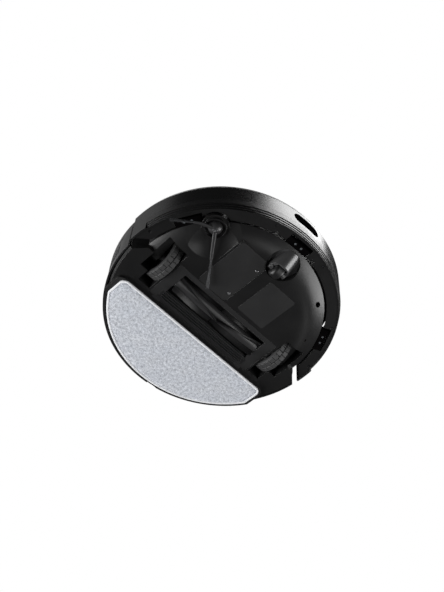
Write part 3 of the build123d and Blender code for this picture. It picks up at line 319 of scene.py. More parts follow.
def moulded(name, colour, roughness, grain=0.5, depth=0.03, edge=0.4, wear_highlight=0.5, dust=0.05, coat=0.0,
            metallic=0.0, specular=0.5, sheen=0.0, wear_highlight_tone=2.6, clouds=0.25, rolled=False):
    """Moulded plastic, rubber or metal: grain in mm, softened edges lightened partly by wear polish and
    partly as painted highlight, a little dust.
    """
    material, tree, shader, at = new_material(name)
    grains = place(tree, grain_group, {"Vector": at, "Grain Size": grain})
    edges = place(tree, wear_highlight_group, {"Vector": at, "Radius": edge * mm, "Amount": wear_highlight})
    haze = place(tree, dust_group, {"Vector": at, "Amount": dust})
    light = tuple(min(1.0, channel * (1 + clouds)) for channel in colour)
    dark = tuple(channel * (1 - clouds) for channel in colour)
    # Lighter edges: partly wear polish, partly painted edge highlight.
    polished_highlit = tuple(min(1.0, channel * wear_highlight_tone + 0.004) for channel in colour)
    base = blend_colours(tree, grains["Clouds"], dark, light)
    base = blend_colours(tree, edges["Mask"], base, polished_highlit)
    base = blend_colours(tree, haze["Mask"], base, dust_colour)
    tree.links.new(base, shader.inputs["Base Color"])
    smoothest, roughest = roughness - roughness_spread, roughness + roughness_spread
    rough = spread_over(tree, grains["Clouds"], smoothest, roughest)
    rough = maths(tree, "SUBTRACT", rough, maths(tree, "MULTIPLY", edges["Mask"], polish))
    tree.links.new(rough, shader.inputs["Roughness"])
    bump = add(tree, "ShaderNodeBump", {"Strength": 1.0, "Distance": depth * mm})
    tree.links.new(grains["Height"], bump.inputs["Height"])
    surface = edges["Normal"]
    if rolled:
        surface = place(tree, rolled_group, {"Vector": at, "Normal": surface})["Normal"]
    tree.links.new(surface, bump.inputs["Normal"])
    tree.links.new(bump.outputs[0], shader.inputs["Normal"])
    shader.inputs["Metallic"].default_value = metallic
    shader.inputs["Specular IOR Level"].default_value = specular
    shader.inputs["Coat Weight"].default_value = coat
    shader.inputs["Coat Roughness"].default_value = 0.12
    shader.inputs["Sheen Weight"].default_value = sheen
    return material


def clear_lens(name):
    """Clear moulded lens, faintly cloudy."""
    material, tree, shader, at = new_material(name)
    grains = place(tree, grain_group, {"Vector": at, "Grain Size": 0.3, "Cloud Size": 3.0})
    tree.links.new(blend_colours(tree, grains["Clouds"], (0.10, 0.11, 0.12), (0.16, 0.17, 0.18)),
                   shader.inputs["Base Color"])
    tree.links.new(spread_over(tree, grains["Clouds"], 0.16, 0.26), shader.inputs["Roughness"])
    shader.inputs["Transmission Weight"].default_value = 0.3
    shader.inputs["IOR"].default_value = 1.49
    return material


def board_finish(name):
    """Green lacquer with faint copper tracks under it."""
    material, tree, shader, at = new_material(name)
    tracks = add(tree, "ShaderNodeTexBrick", {"Scale": 160.0, "Mortar Size": 0.03})
    tree.links.new(at, tracks.inputs["Vector"])
    tree.links.new(blend_colours(tree, tracks.outputs["Fac"], (0.008, 0.09, 0.03), (0.03, 0.17, 0.06)),
                   shader.inputs["Base Color"])
    tree.links.new(spread_over(tree, tracks.outputs["Fac"], 0.3, 0.42), shader.inputs["Roughness"])
    return material


def pleated_paper(name):
    """Filter paper with fine fibres."""
    material, tree, shader, at = new_material(name)
    fibres = place(tree, microfibre_group, {"Vector": at, "Tuft Size": 0.5})
    tree.links.new(blend_colours(tree, fibres["Tint"], (0.62, 0.6, 0.54), (0.85, 0.84, 0.8)),
                   shader.inputs["Base Color"])
    shader.inputs["Roughness"].default_value = 0.9
    return material


def microfibre_cloth(name):
    """The mop's looped cloth, grey and blue-white threads mixed."""
    material, tree, shader, at = new_material(name)
    fibres = place(tree, microfibre_group, {"Vector": at, "Tuft Size": 1.2})
    grey = blend_colours(tree, fibres["Cool"], (0.24, 0.25, 0.28), (0.22, 0.24, 0.28))
    pale = blend_colours(tree, fibres["Cool"], (0.86, 0.88, 0.92), (0.80, 0.84, 0.92))
    tree.links.new(blend_colours(tree, fibres["Tint"], grey, pale), shader.inputs["Base Color"])
    shader.inputs["Roughness"].default_value = 0.95
    shader.inputs["Sheen Weight"].default_value = 0.25
    shader.inputs["Specular IOR Level"].default_value = 0.2
    bump = add(tree, "ShaderNodeBump", {"Strength": 1.0, "Distance": 0.35 * mm})
    tree.links.new(fibres["Height"], bump.inputs["Height"])
    tree.links.new(bump.outputs[0], shader.inputs["Normal"])
    return material


def woven_tape(name):
    """White edging tape with a fine rib."""
    material, tree, shader, at = new_material(name)
    fibres = place(tree, microfibre_group, {"Vector": at, "Tuft Size": 0.45})
    tree.links.new(blend_colours(tree, fibres["Tint"], (0.74, 0.75, 0.78), (0.92, 0.93, 0.95)),
                   shader.inputs["Base Color"])
    shader.inputs["Roughness"].default_value = 0.85
    shader.inputs["Sheen Weight"].default_value = 0.15
    bump = add(tree, "ShaderNodeBump", {"Strength": 0.8, "Distance": 0.12 * mm})
    tree.links.new(fibres["Height"], bump.inputs["Height"])
    tree.links.new(bump.outputs[0], shader.inputs["Normal"])
    return material


finishes = {
    "chassis_black": moulded("chassis_black", deep_black, 0.31, grain=0.45, depth=0.006),
    "belly_black": moulded("belly_black", deep_black, 0.31, grain=0.45, depth=0.006, rolled=True),
    "shell_black": moulded("shell_black", (0.011, 0.011, 0.0115), 0.32, grain=0.3, depth=0.001,
                           clouds=0.06),
    "band_black": moulded("band_black", (0.006, 0.006, 0.0065), 0.27, grain=0.3, depth=0.0004,
                          clouds=0.04),
    "window_dark": moulded("window_dark", (0.0015, 0.0012, 0.0015), 0.30, grain=0.3, depth=0.001,
                           wear_highlight=0.2, specular=0.0),
    "housing_black": moulded("housing_black", (0.008, 0.008, 0.0085), 0.5, grain=0.6, depth=0.02),
    "door_grey": moulded("door_grey", (0.017, 0.017, 0.0175), 0.42, grain=0.4, depth=0.012),
    "label_grey": moulded("label_grey", (0.014, 0.014, 0.0145), 0.5, grain=0.8, depth=0.004, wear_highlight=0.2),
    "hub_grey": moulded("hub_grey", (0.030, 0.030, 0.031), 0.33, grain=0.4, depth=0.006),
    "tread_rubber": moulded("tread_rubber", (0.036, 0.036, 0.037), 0.55, grain=0.5, depth=0.03,
                            dust=0.14),
    "blade_rubber": moulded("blade_rubber", (0.004, 0.004, 0.0045), 0.40, grain=0.6, depth=0.004,
                            wear_highlight=0.4, specular=0.3),
    "strip_rubber": moulded("strip_rubber", (0.008, 0.008, 0.0085), 0.42, grain=0.5, depth=0.01),
    "bristle_grey": moulded("bristle_grey", (0.055, 0.056, 0.06), 0.38, grain=0.3, depth=0.004,
                           edge=0.2),
    "screw_steel": moulded("screw_steel", (0.33, 0.33, 0.34), 0.32, grain=0.2, depth=0.004, metallic=1.0,
                           wear_highlight_tone=1.5),
    "contact_metal": moulded("contact_metal", (0.72, 0.58, 0.34), 0.26, grain=0.2, depth=0.002,
                             metallic=1.0, wear_highlight_tone=1.2),
    "motor_can": moulded("motor_can", (0.42, 0.42, 0.43), 0.38, grain=0.3, depth=0.004, metallic=1.0,
                         wear_highlight_tone=1.4),
    "cell_wrap": moulded("cell_wrap", (0.04, 0.10, 0.26), 0.35, grain=0.6, depth=0.006, wear_highlight_tone=1.5),
    "tank_smoke": moulded("tank_smoke", (0.018, 0.018, 0.020), 0.2, grain=0.3, depth=0.003, coat=0.3),
    "light_white": moulded("light_white", (0.80, 0.82, 0.86), 0.25, grain=0.3, depth=0.002,
                          wear_highlight_tone=1.1),
    # Caster hood: a lighter copy of hub_grey; the extra lightness is painted sheen.
    "hood_sheen_grey": moulded("hood_sheen_grey", (0.050, 0.050, 0.051), 0.30, grain=0.4, depth=0.004, specular=0.9),
    # Black darker than the other plastics: painted shade of the wheel wells.
    "well_shade_black": moulded("well_shade_black", (0.003, 0.003, 0.0032), 0.5, grain=0.6, depth=0.012, wear_highlight=0.3),
    "screw_dark": moulded("screw_dark", (0.03, 0.03, 0.032), 0.42, grain=0.2, depth=0.004, metallic=1.0),
    "lens_clear": clear_lens("lens_clear"),
    "board_green": board_finish("board_green"),
    "filter_paper": pleated_paper("filter_paper"),
    "pad_cloth": microfibre_cloth("pad_cloth"),
}
tape = woven_tape("edging_tape")

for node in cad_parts.values():
    for holder in node.material_slots:
        holder.material = finishes[holder.material.name.split(".")[0]]
other_finishes = {
    # wheel arms and motors take the darker black as painted wheel-well shade
    "right_wheel_arm": "well_shade_black", "left_wheel_arm": "well_shade_black", "right_wheel_motor": "well_shade_black",
    "left_wheel_motor": "well_shade_black", "bumper_screws": "screw_dark", "lower_chassis": "belly_black",
    # the caster turret takes the lighter grey as painted sheen
    "caster_turret": "hood_sheen_grey",
}
for name, finish in other_finishes.items():
    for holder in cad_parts[name].material_slots:
        holder.material = finishes[finish]


# ---- mesh helpers ----------------------------------------------------------------------------------
def squared(value, power):
    """A sine or cosine pushed outwards, which squares up a round section."""
    return math.copysign(abs(value) ** power, value)


def finished(name, mesh, body, replaced=()):
    """Makes a piece of a mesh and ties it to its body."""
    piece = bpy.data.objects.new(name, mesh)
    collection.objects.link(piece)
    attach(piece, body)
    if replaced:
        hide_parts(*replaced)
    return piece


def clean(bm):
    """Merges doubles and turns the faces outwards."""
    bmesh.ops.remove_doubles(bm, verts=bm.verts, dist=1e-6)
    bmesh.ops.recalc_face_normals(bm, faces=bm.faces)


def mesh_of(bm, name, *materials):
    """A smooth mesh from a bmesh."""
    mesh = bpy.data.meshes.new(name)
    bm.to_mesh(mesh)
    bm.free()
    for material in materials:
        mesh.materials.append(material)
    for face in mesh.polygons:
        face.use_smooth = True
    return mesh


def rings(bm, loops, closed_path, material=0):
    """Skins equal loops of points one after another, with ends closed if the path is open."""
    made = [[bm.verts.new(point) for point in loop] for loop in loops]
    pairs = list(zip(made, made[1:] + made[:1])) if closed_path else list(zip(made, made[1:]))
    for first, second in pairs:
        for index in range(len(first)):
            follow = (index + 1) % len(first)
            face = bm.faces.new((first[index], first[follow], second[follow], second[index]))
            face.material_index = material
    if not closed_path:
        for end in (made[0], made[-1]):
            bm.faces.new(end).material_index = material


def new_tree(name, inputs):
    """A Geometry Nodes tree with named inputs."""
    tree = bpy.data.node_groups.new(name, "GeometryNodeTree")
    tree.interface.new_socket("Geometry", in_out="OUTPUT", socket_type="NodeSocketGeometry")
    for label, kind, value in inputs:
        socket = tree.interface.new_socket(label, in_out="INPUT", socket_type="NodeSocket" + kind)
        if value is not None:
            socket.default_value = value
    return tree, tree.nodes.new("NodeGroupInput").outputs, tree.nodes.new("NodeGroupOutput").inputs


def finish_tree(tree, given, result, grown_geometry):
    """Ends a tree in real geometry with its finish."""
    real = add(tree, "GeometryNodeRealizeInstances")
    tree.links.new(grown_geometry, real.inputs[0])
    paint = add(tree, "GeometryNodeSetMaterial")
    tree.links.new(real.outputs[0], paint.inputs["Geometry"])
    tree.links.new(given["Finish"], paint.inputs["Material"])
    tree.links.new(paint.outputs[0], result["Geometry"])


def grown(tree, values, start=None):
    """The plain mesh that a tree grows with these values."""
    holder = bpy.data.objects.new("holder", start or bpy.data.meshes.new("holder"))
    collection.objects.link(holder)
    modifier = holder.modifiers.new("growth", "NODES")
    modifier.node_group = tree
    for item in tree.interface.items_tree:
        if item.in_out == "INPUT" and item.name in values:
            modifier[item.identifier] = values[item.name]
    graph = bpy.context.evaluated_depsgraph_get()
    mesh = bpy.data.meshes.new_from_object(holder.evaluated_get(graph), depsgraph=graph)
    bpy.data.objects.remove(holder)
    return mesh


# ---- mop pad ---------------------------------------------------------------------------------------
pad_low, pad_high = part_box("mop_pad")
pad_half_width = pad_high.x
pad_front = pad_high.y
pad_radius = -pad_low.y
pad_corner = 9.0 * mm
tape_width = 3.4 * mm
tape_top = pad_high.z - 0.6 * mm
tape_floor = 0.25 * mm
tape_sides = 12
tape_squareness = 0.7
cloth_floor = 0.35 * mm
cloth_top = pad_high.z - 0.15 * mm
edge_rise = 1.3 * mm
edge_softness = 4.0 * mm
broad_lump = 0.22 * mm
small_lump = 0.10 * mm
cloth_spacing = 4.0 * mm
tape_step = 2.0 * mm
seam_height = 0.35 * mm
seam_inset = tape_width * 0.75


def half_moon(inset, step):
    """Points round the pad's half-moon, inset from its edge, counter-clockwise."""
    half = pad_half_width - inset
    front = pad_front - inset
    radius = pad_radius - inset
    corner = pad_corner - inset * 0.5
    side_y = -math.sqrt(radius**2 - half**2)
    points = []

    def arc(x, y, size, start, end):
        count = max(3, int(abs(end - start) * size / step))
        for number in range(count + 1):
            angle = start + (end - start) * number / count
            points.append(Vector((x + size * math.cos(angle), y + size * math.sin(angle))))

    def straight(x0, y0, x1, y1):
        count = max(1, int(math.hypot(x1 - x0, y1 - y0) / step))
        for number in range(1, count):
            share = number / count
            points.append(Vector((x0 + (x1 - x0) * share, y0 + (y1 - y0) * share)))

    rear = math.atan2(-side_y, half)
    straight(half, side_y, half, front - corner)
    arc(half - corner, front - corner, corner, 0.0, math.pi / 2)
    straight(half - corner, front, corner - half, front)
    arc(corner - half, front - corner, corner, math.pi / 2, math.pi)
    straight(-half, front - corner, -half, side_y)
    arc(0.0, 0.0, radius, math.pi + rear, 2 * math.pi - rear)
    return points


def edge_distance(spot, outline):
    """How far a plan point is from the outline."""
    return min((spot - point).length for point in outline)


def cloth_skin(spacing):
    """The cloth as a closed skin: lumpy and crowned below, flat against its plate."""
    outline = half_moon(tape_width * 0.5, spacing)
    spots = list(outline)
    edges = [(number, (number + 1) % len(outline)) for number in range(len(outline))]
    inner = half_moon(tape_width * 0.5 + spacing * 0.7, spacing)
    rows = int((pad_radius + pad_front) / spacing) + 1
    columns = int(2 * pad_half_width / spacing) + 1
    for row in range(rows):
        for column in range(columns):
            stagger = 0.5 * spacing * (row % 2)
            spot = Vector((-pad_half_width + column * spacing + stagger, pad_front - row * spacing))
            if inside(spot, inner):
                spots.append(spot)
    found, _, faces, *_ = geometry.delaunay_2d_cdt(spots, edges, [], 1, 1e-7)
    bm = bmesh.new()
    lower = []
    upper = []
    for spot in found:
        away = edge_distance(spot, outline)
        rise = edge_rise * math.exp(-away / edge_softness)
        lump = noise.noise(Vector((spot.x, spot.y, 0.0)) * 60.0) * broad_lump
        lump += noise.noise(Vector((spot.x, spot.y, 0.4)) * 240.0) * small_lump
        lower.append(bm.verts.new((spot.x, spot.y, cloth_floor + rise + lump)))
        upper.append(bm.verts.new((spot.x, spot.y, cloth_top)))
    for face in faces:
        bm.faces.new([lower[index] for index in face])
        bm.faces.new([upper[index] for index in reversed(face)])
    sides = {(first, second) for face in faces for first, second in zip(face, face[1:] + face[:1])}
    for first, second in sides:
        if (second, first) not in sides:
            bm.faces.new((lower[second], lower[first], upper[first], upper[second]))
    return bm


def inside(spot, outline):
    """Whether a plan point lies inside a closed outline."""
    crossings = 0
    for first, second in zip(outline, outline[1:] + outline[:1]):
        if (first.y > spot.y) != (second.y > spot.y):
            cross_x = first.x + (spot.y - first.y) / (second.y - first.y) * (second.x - first.x)
            crossings += spot.x < cross_x
    return crossings % 2 == 1


def tape_loops(step):
    """Cross-sections of the edging tape along the pad's edge."""
    path = half_moon(tape_width * 0.5, step)
    loops = []
    middle = (tape_top + tape_floor) / 2
    for before, here, after in zip(path[-1:] + path[:-1], path, path[1:] + path[:1]):
        ahead = (after - before).normalized()
        across = Vector((ahead.y, -ahead.x))
        loop = []
        for number in range(tape_sides):
            angle = 2 * math.pi * number / tape_sides
            reach = squared(math.cos(angle), tape_squareness) * tape_width / 2
            height = squared(math.sin(angle), tape_squareness) * (tape_top - tape_floor) / 2
            spot = here + across * reach
            loop.append((spot.x, spot.y, middle + height))
        loops.append(loop)
    return loops


def stitch_tree():
    """Short threads laid one after another along a closed line."""
    tree, given, result = new_tree("edge_stitches", [
        ("Line", "Geometry", None), ("Pitch", "Float", 0.0026), ("Length", "Float", 0.0009),
        ("Thickness", "Float", 0.00022), ("Seed", "Int", 3), ("Finish", "Material", None),
    ])
    line = add(tree, "GeometryNodeMeshToCurve")
    tree.links.new(given["Line"], line.inputs["Mesh"])
    spots = add(tree, "GeometryNodeCurveToPoints", mode="LENGTH")
    tree.links.new(line.outputs[0], spots.inputs["Curve"])
    tree.links.new(given["Pitch"], spots.inputs["Length"])
    thread = add(tree, "GeometryNodeMeshUVSphere", {"Segments": 8, "Rings": 6, "Radius": 1.0})
    size = add(tree, "ShaderNodeCombineXYZ")
    tree.links.new(given["Thickness"], size.inputs["X"])
    tree.links.new(given["Thickness"], size.inputs["Y"])
    tree.links.new(given["Length"], size.inputs["Z"])
    sway = add(tree, "FunctionNodeRandomValue", {0: (-0.15, -0.15, 0.0), 1: (0.15, 0.15, 0.0)},
               data_type="FLOAT_VECTOR")
    tree.links.new(given["Seed"], sway.inputs["Seed"])
    slant = add(tree, "FunctionNodeEulerToRotation")
    tree.links.new(sway.outputs[0], slant.inputs[0])
    lay = add(tree, "FunctionNodeRotateRotation", rotation_space="LOCAL")
    tree.links.new(spots.outputs["Rotation"], lay.inputs[0])
    tree.links.new(slant.outputs[0], lay.inputs[1])
    seam = add(tree, "GeometryNodeInstanceOnPoints")
    tree.links.new(spots.outputs["Points"], seam.inputs["Points"])
    tree.links.new(thread.outputs[0], seam.inputs["Instance"])
    tree.links.new(lay.outputs[0], seam.inputs["Rotation"])
    tree.links.new(size.outputs[0], seam.inputs["Scale"])
    finish_tree(tree, given, result, seam.outputs[0])
    return tree


def make_stitches():
    """The seam that holds the edging tape, on the side that meets the floor."""
    line = bpy.data.meshes.new("seam_line")
    path = [Vector((spot.x, spot.y, seam_height)) for spot in half_moon(seam_inset, tape_step)]
    pairs = [(number, (number + 1) % len(path)) for number in range(len(path))]
    line.from_pydata(path, pairs, [])
    threads = bmesh.new()
    threads.from_mesh(grown(stitch_tree(), {"Finish": tape}, line))
    finished("mop_pad_stitches", mesh_of(threads, "mop_pad_stitches", tape), "mop")


def make_mop_pad():
    """The padded cloth with its edging tape, which takes the place of the plain pad."""
    bm = cloth_skin(cloth_spacing)
    clean(bm)
    rings(bm, tape_loops(tape_step), True, material=1)
    bmesh.ops.recalc_face_normals(bm, faces=bm.faces)
    mesh = mesh_of(bm, "mop_pad_cloth", finishes["pad_cloth"], tape)
    piece = finished("mop_pad_cloth", mesh, "mop", ["mop_pad"])


make_mop_pad()
make_stitches()


# ---- tyres -----------------------------------------------------------------------------------------
tread_blocks = 26
tread_depth = 2.2 * mm
tread_gap = 1.0 * mm
tread_chamfer = 0.5 * mm
shoulder = 1.6 * mm
shoulder_part = 0.4
sunk_depth = 0.8 * tread_depth
sidewall_inset = 0.3 * mm


def tread_tree():
    """Two staggered rows of chamfered blocks round a wheel whose axle lies along X."""
    tree, given, result = new_tree("tyre_tread", [
        ("Blocks", "Int", 26), ("Radius", "Float", 0.035), ("Block Length", "Float", 0.0075),
        ("Block Width", "Float", 0.008), ("Depth", "Float", 0.002), ("Row Offset", "Float", 0.0045),
        ("Chamfer", "Float", 0.0005), ("Finish", "Material", None),
    ])
    size = add(tree, "ShaderNodeCombineXYZ")
    tree.links.new(given["Block Width"], size.inputs["X"])
    tree.links.new(given["Block Length"], size.inputs["Y"])
    flat_part = maths(tree, "SUBTRACT", given["Depth"], given["Chamfer"])
    tree.links.new(flat_part, size.inputs["Z"])
    block = add(tree, "GeometryNodeMeshCube")
    tree.links.new(size.outputs[0], block.inputs["Size"])
    facing = add(tree, "ShaderNodeSeparateXYZ")
    tree.links.new(add(tree, "GeometryNodeInputNormal").outputs[0], facing.inputs[0])
    top_face = maths(tree, "GREATER_THAN", facing.outputs["Z"], 0.5)
    raise_top = add(tree, "GeometryNodeExtrudeMesh")
    tree.links.new(block.outputs[0], raise_top.inputs["Mesh"])
    tree.links.new(top_face, raise_top.inputs["Selection"])
    tree.links.new(given["Chamfer"], raise_top.inputs["Offset Scale"])
    narrow = add(tree, "GeometryNodeScaleElements", {"Scale": 0.84})
    tree.links.new(raise_top.outputs["Mesh"], narrow.inputs["Geometry"])
    tree.links.new(raise_top.outputs["Top"], narrow.inputs["Selection"])
    circle = add(tree, "GeometryNodeMeshCircle")
    tree.links.new(given["Blocks"], circle.inputs["Vertices"])
    inset = maths(tree, "MULTIPLY", given["Depth"], 0.5)
    tree.links.new(maths(tree, "SUBTRACT", given["Radius"], maths(tree, "ADD", inset, given["Chamfer"])),
                   circle.inputs["Radius"])
    outward = add(tree, "FunctionNodeAlignRotationToVector", axis="Z")
    tree.links.new(add(tree, "GeometryNodeInputPosition").outputs[0], outward.inputs["Vector"])
    along_axle = add(tree, "FunctionNodeAlignRotationToVector", {"Vector": (0.0, 0.0, 1.0)},
                     axis="X", pivot_axis="Z")
    tree.links.new(outward.outputs[0], along_axle.inputs["Rotation"])
    row = add(tree, "GeometryNodeInstanceOnPoints")
    tree.links.new(circle.outputs[0], row.inputs["Points"])
    tree.links.new(narrow.outputs[0], row.inputs["Instance"])
    tree.links.new(along_axle.outputs[0], row.inputs["Rotation"])
    both = add(tree, "GeometryNodeJoinGeometry")
    half_pitch = maths(tree, "DIVIDE", math.pi, given["Blocks"])
    for side in (-1.0, 1.0):
        shift = add(tree, "ShaderNodeCombineXYZ")
        tree.links.new(maths(tree, "MULTIPLY", given["Row Offset"], side), shift.inputs["Z"])
        spin = add(tree, "ShaderNodeCombineXYZ")
        tree.links.new(maths(tree, "MULTIPLY", half_pitch, (side + 1) / 2), spin.inputs["Z"])
        moved = add(tree, "GeometryNodeTransform")
        tree.links.new(row.outputs[0], moved.inputs["Geometry"])
        tree.links.new(shift.outputs[0], moved.inputs["Translation"])
        tree.links.new(spin.outputs[0], moved.inputs["Rotation"])
        tree.links.new(moved.outputs[0], both.inputs[0])
    lay_down = add(tree, "GeometryNodeTransform", {"Rotation": (0.0, math.pi / 2, 0.0)})
    tree.links.new(both.outputs[0], lay_down.inputs["Geometry"])
    finish_tree(tree, given, result, lay_down.outputs[0])
    return tree


def tyre_loops(radius, inner, half_width, segments=96):
    """Sections of the tyre's body round its axle, with rounded shoulders."""
    cut = shoulder_part * shoulder
    outline = [
        (-half_width, inner), (-half_width, radius - shoulder), (-half_width + cut, radius - cut),
        (-half_width + shoulder, radius), (0.0, radius), (half_width - shoulder, radius),
        (half_width - cut, radius - cut), (half_width, radius - shoulder), (half_width, inner),
    ]
    loops = []
    for number in range(segments):
        angle = 2 * math.pi * number / segments
        loops.append([Vector((x, r * math.cos(angle), r * math.sin(angle))) for x, r in outline])
    return loops


def make_tyre(side, tree):
    """One tyre's body and its grown tread as a single piece."""
    low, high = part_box(side + "_tyre")
    centre = (low + high) / 2
    radius = (high.z - low.z) / 2
    half_width = (high.x - low.x) / 2
    hub_low, hub_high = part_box(side + "_wheel_hub")
    inner = (hub_high.z - hub_low.z) / 2
    bm = bmesh.new()
    rings(bm, tyre_loops(radius - sunk_depth, inner, half_width - sidewall_inset), True)
    bmesh.ops.recalc_face_normals(bm, faces=bm.faces)
    row_width = half_width - shoulder * 0.5 - tread_gap / 2
    blocks = grown(tree, {
        "Blocks": tread_blocks, "Radius": radius, "Depth": tread_depth, "Block Width": row_width,
        "Block Length": 2 * math.pi * radius / tread_blocks - tread_gap,
        "Row Offset": (row_width + tread_gap) / 2, "Chamfer": tread_chamfer,
        "Finish": finishes["tread_rubber"],
    })
    bm.from_mesh(blocks)
    bmesh.ops.translate(bm, verts=bm.verts, vec=centre)
    mesh = mesh_of(bm, side + "_tread", finishes["tread_rubber"])
    for face in mesh.polygons:
        face.use_smooth = False
    finished(side + "_tread", mesh, side + "_wheel", [side + "_tyre"])


tread = tread_tree()
for side in ("right", "left"):
    make_tyre(side, tread)


# ---- side brush ------------------------------------------------------------------------------------
finger_routes = [
    [(111.5, 95.4, 9.4), (120.0, 93.6, 9.1), (131.0, 89.5, 8.2), (139.0, 84.0, 7.0)],
    [(107.0, 93.6, 9.2), (97.0, 81.0, 8.2), (86.0, 67.0, 7.0), (79.0, 58.5, 6.0)],
]
tuft_ends = [(167.0, 64.4, 3.2), (49.0, 21.5, 2.4)]
finger_widths = [5.8, 5.4, 4.6, 3.6]
finger_steps = 28
finger_corners = 16
look_ahead = 0.01
finger_thickness = 0.30
finger_squareness = 0.8
bristles = 46
bristle_bow = 1.6 * mm
sunk_root = 5.0 * mm


def along(points, share):
    """A smooth spot on a line of listed points."""
    place_on_line = share * (len(points) - 1)
    index = min(int(place_on_line), len(points) - 2)
    part = place_on_line - index
    before = points[max(index - 1, 0)]
    after = points[min(index + 2, len(points) - 1)]
    first, second = points[index], points[index + 1]
    return 0.5 * (
        2 * first + (second - before) * part
        + (2 * before - 5 * first + 4 * second - after) * part**2
        + (3 * first - before - 3 * second + after) * part**3
    )


def finger_loops(route, widths):
    """Flattened, tapering sections along one flexible arm."""
    points = [Vector(point) * mm for point in route]
    loops = []
    for number in range(finger_steps + 1):
        share = number / finger_steps
        here = along(points, share)
        before, after = max(share - look_ahead, 0.0), min(share + look_ahead, 1.0)
        ahead = (along(points, after) - along(points, before)).normalized()
        across = ahead.cross(Vector((0, 0, 1))).normalized()
        up = across.cross(ahead)
        spot = share * (len(widths) - 1)
        index = min(int(spot), len(widths) - 2)
        width = (widths[index] + (widths[index + 1] - widths[index]) * (spot - index)) * mm
        loop = []
        for corner in range(finger_corners):
            angle = 2 * math.pi * corner / finger_corners
            reach = squared(math.cos(angle), finger_squareness) * width / 2
            height = math.sin(angle) * width * finger_thickness
            loop.append(here + across * reach + up * height)
        loops.append(loop)
    return loops


def bristle_tree():
    """A bundle of bristles that stands on the origin and fans out along Z."""
    tree, given, result = new_tree("bristle_tuft", [
        ("Bristles", "Int", 40), ("Length", "Float", 0.04), ("Root Radius", "Float", 0.0014),
        ("Spread", "Float", 0.05), ("Thickness", "Float", 0.00016), ("Seed", "Int", 1),
        ("Finish", "Material", None),
    ])
    roots = add(tree, "GeometryNodePoints")
    tree.links.new(given["Bristles"], roots.inputs["Count"])
    scatter = add(tree, "FunctionNodeRandomValue", {0: (-1.0, -1.0, 0.0), 1: (1.0, 1.0, 0.0)},
                  data_type="FLOAT_VECTOR")
    tree.links.new(given["Seed"], scatter.inputs["Seed"])
    spots = add(tree, "ShaderNodeVectorMath", operation="SCALE")
    tree.links.new(scatter.outputs[0], spots.inputs[0])
    tree.links.new(given["Root Radius"], spots.inputs["Scale"])
    tree.links.new(spots.outputs[0], roots.inputs["Position"])
    strand = add(tree, "GeometryNodeCurvePrimitiveLine")
    tip = add(tree, "ShaderNodeCombineXYZ")
    tree.links.new(given["Length"], tip.inputs["Z"])
    tree.links.new(tip.outputs[0], strand.inputs["End"])
    section = add(tree, "GeometryNodeCurvePrimitiveCircle", {"Resolution": 5})
    tree.links.new(given["Thickness"], section.inputs["Radius"])
    steps = add(tree, "GeometryNodeResampleCurve", {"Count": 7})
    tree.links.new(strand.outputs[0], steps.inputs["Curve"])
    bend = add(tree, "GeometryNodeSetPosition")
    tree.links.new(steps.outputs[0], bend.inputs["Geometry"])
    share = add(tree, "GeometryNodeSplineParameter").outputs["Factor"]
    bow = maths(tree, "MULTIPLY", maths(tree, "MULTIPLY", share, share), bristle_bow)
    sideways = add(tree, "ShaderNodeCombineXYZ")
    tree.links.new(bow, sideways.inputs["X"])
    tree.links.new(sideways.outputs[0], bend.inputs["Offset"])
    thread = add(tree, "GeometryNodeCurveToMesh", {"Fill Caps": True})
    tree.links.new(bend.outputs[0], thread.inputs["Curve"])
    tree.links.new(section.outputs[0], thread.inputs["Profile Curve"])
    lean = add(tree, "FunctionNodeRandomValue", {0: (-1.0, -1.0, -3.1), 1: (1.0, 1.0, 3.1)},
               data_type="FLOAT_VECTOR")
    tree.links.new(maths(tree, "ADD", given["Seed"], 7.0), lean.inputs["Seed"])
    leaning = add(tree, "ShaderNodeVectorMath", operation="MULTIPLY")
    tree.links.new(lean.outputs[0], leaning.inputs[0])
    limits = add(tree, "ShaderNodeCombineXYZ", {"Z": 1.0})
    tree.links.new(given["Spread"], limits.inputs["X"])
    tree.links.new(given["Spread"], limits.inputs["Y"])
    tree.links.new(limits.outputs[0], leaning.inputs[1])
    bundle = add(tree, "GeometryNodeInstanceOnPoints")
    tree.links.new(roots.outputs[0], bundle.inputs["Points"])
    tree.links.new(thread.outputs[0], bundle.inputs["Instance"])
    turning = add(tree, "FunctionNodeEulerToRotation")
    tree.links.new(leaning.outputs[0], turning.inputs[0])
    tree.links.new(turning.outputs[0], bundle.inputs["Rotation"])
    lengths = add(tree, "FunctionNodeRandomValue", {2: 0.86, 3: 1.0}, data_type="FLOAT")
    tree.links.new(given["Seed"], lengths.inputs["Seed"])
    tree.links.new(lengths.outputs[1], bundle.inputs["Scale"])
    finish_tree(tree, given, result, bundle.outputs[0])
    return tree


def make_side_brush():
    """The two flexible arms, and a bristle tuft at the end of each."""
    fingers = bmesh.new()
    for route in finger_routes:
        rings(fingers, finger_loops(route, finger_widths), False)
    bmesh.ops.recalc_face_normals(fingers, faces=fingers.faces)
    mesh = mesh_of(fingers, "side_brush_fingers", finishes["hub_grey"])
    finished("side_brush_fingers", mesh, "side_brush", ["side_brush_arms"])
    tree = bristle_tree()
    tufts = bmesh.new()
    for seed, (route, end) in enumerate(zip(finger_routes, tuft_ends), 1):
        root = Vector(route[-1]) * mm
        toward = Vector(end) * mm - root
        root -= toward.normalized() * sunk_root
        length = toward.length + sunk_root
        tuft = grown(tree, {
            "Bristles": bristles, "Length": length, "Root Radius": 1.1 * mm, "Spread": 0.026,
            "Thickness": 0.17 * mm, "Seed": seed, "Finish": finishes["bristle_grey"],
        })
        tuft.transform(Matrix.Translation(root) @ toward.to_track_quat("Z", "X").to_matrix().to_4x4())
        tufts.from_mesh(tuft)
    mesh = mesh_of(tufts, "side_brush_tufts", finishes["bristle_grey"])
    finished("side_brush_tufts", mesh, "side_brush")


make_side_brush()

# ---- floor, lights and backdrop --------------------------------------------------------------------
floor_half = 3.0
floor_drop = 0.3 * mm
room_light = 0.03


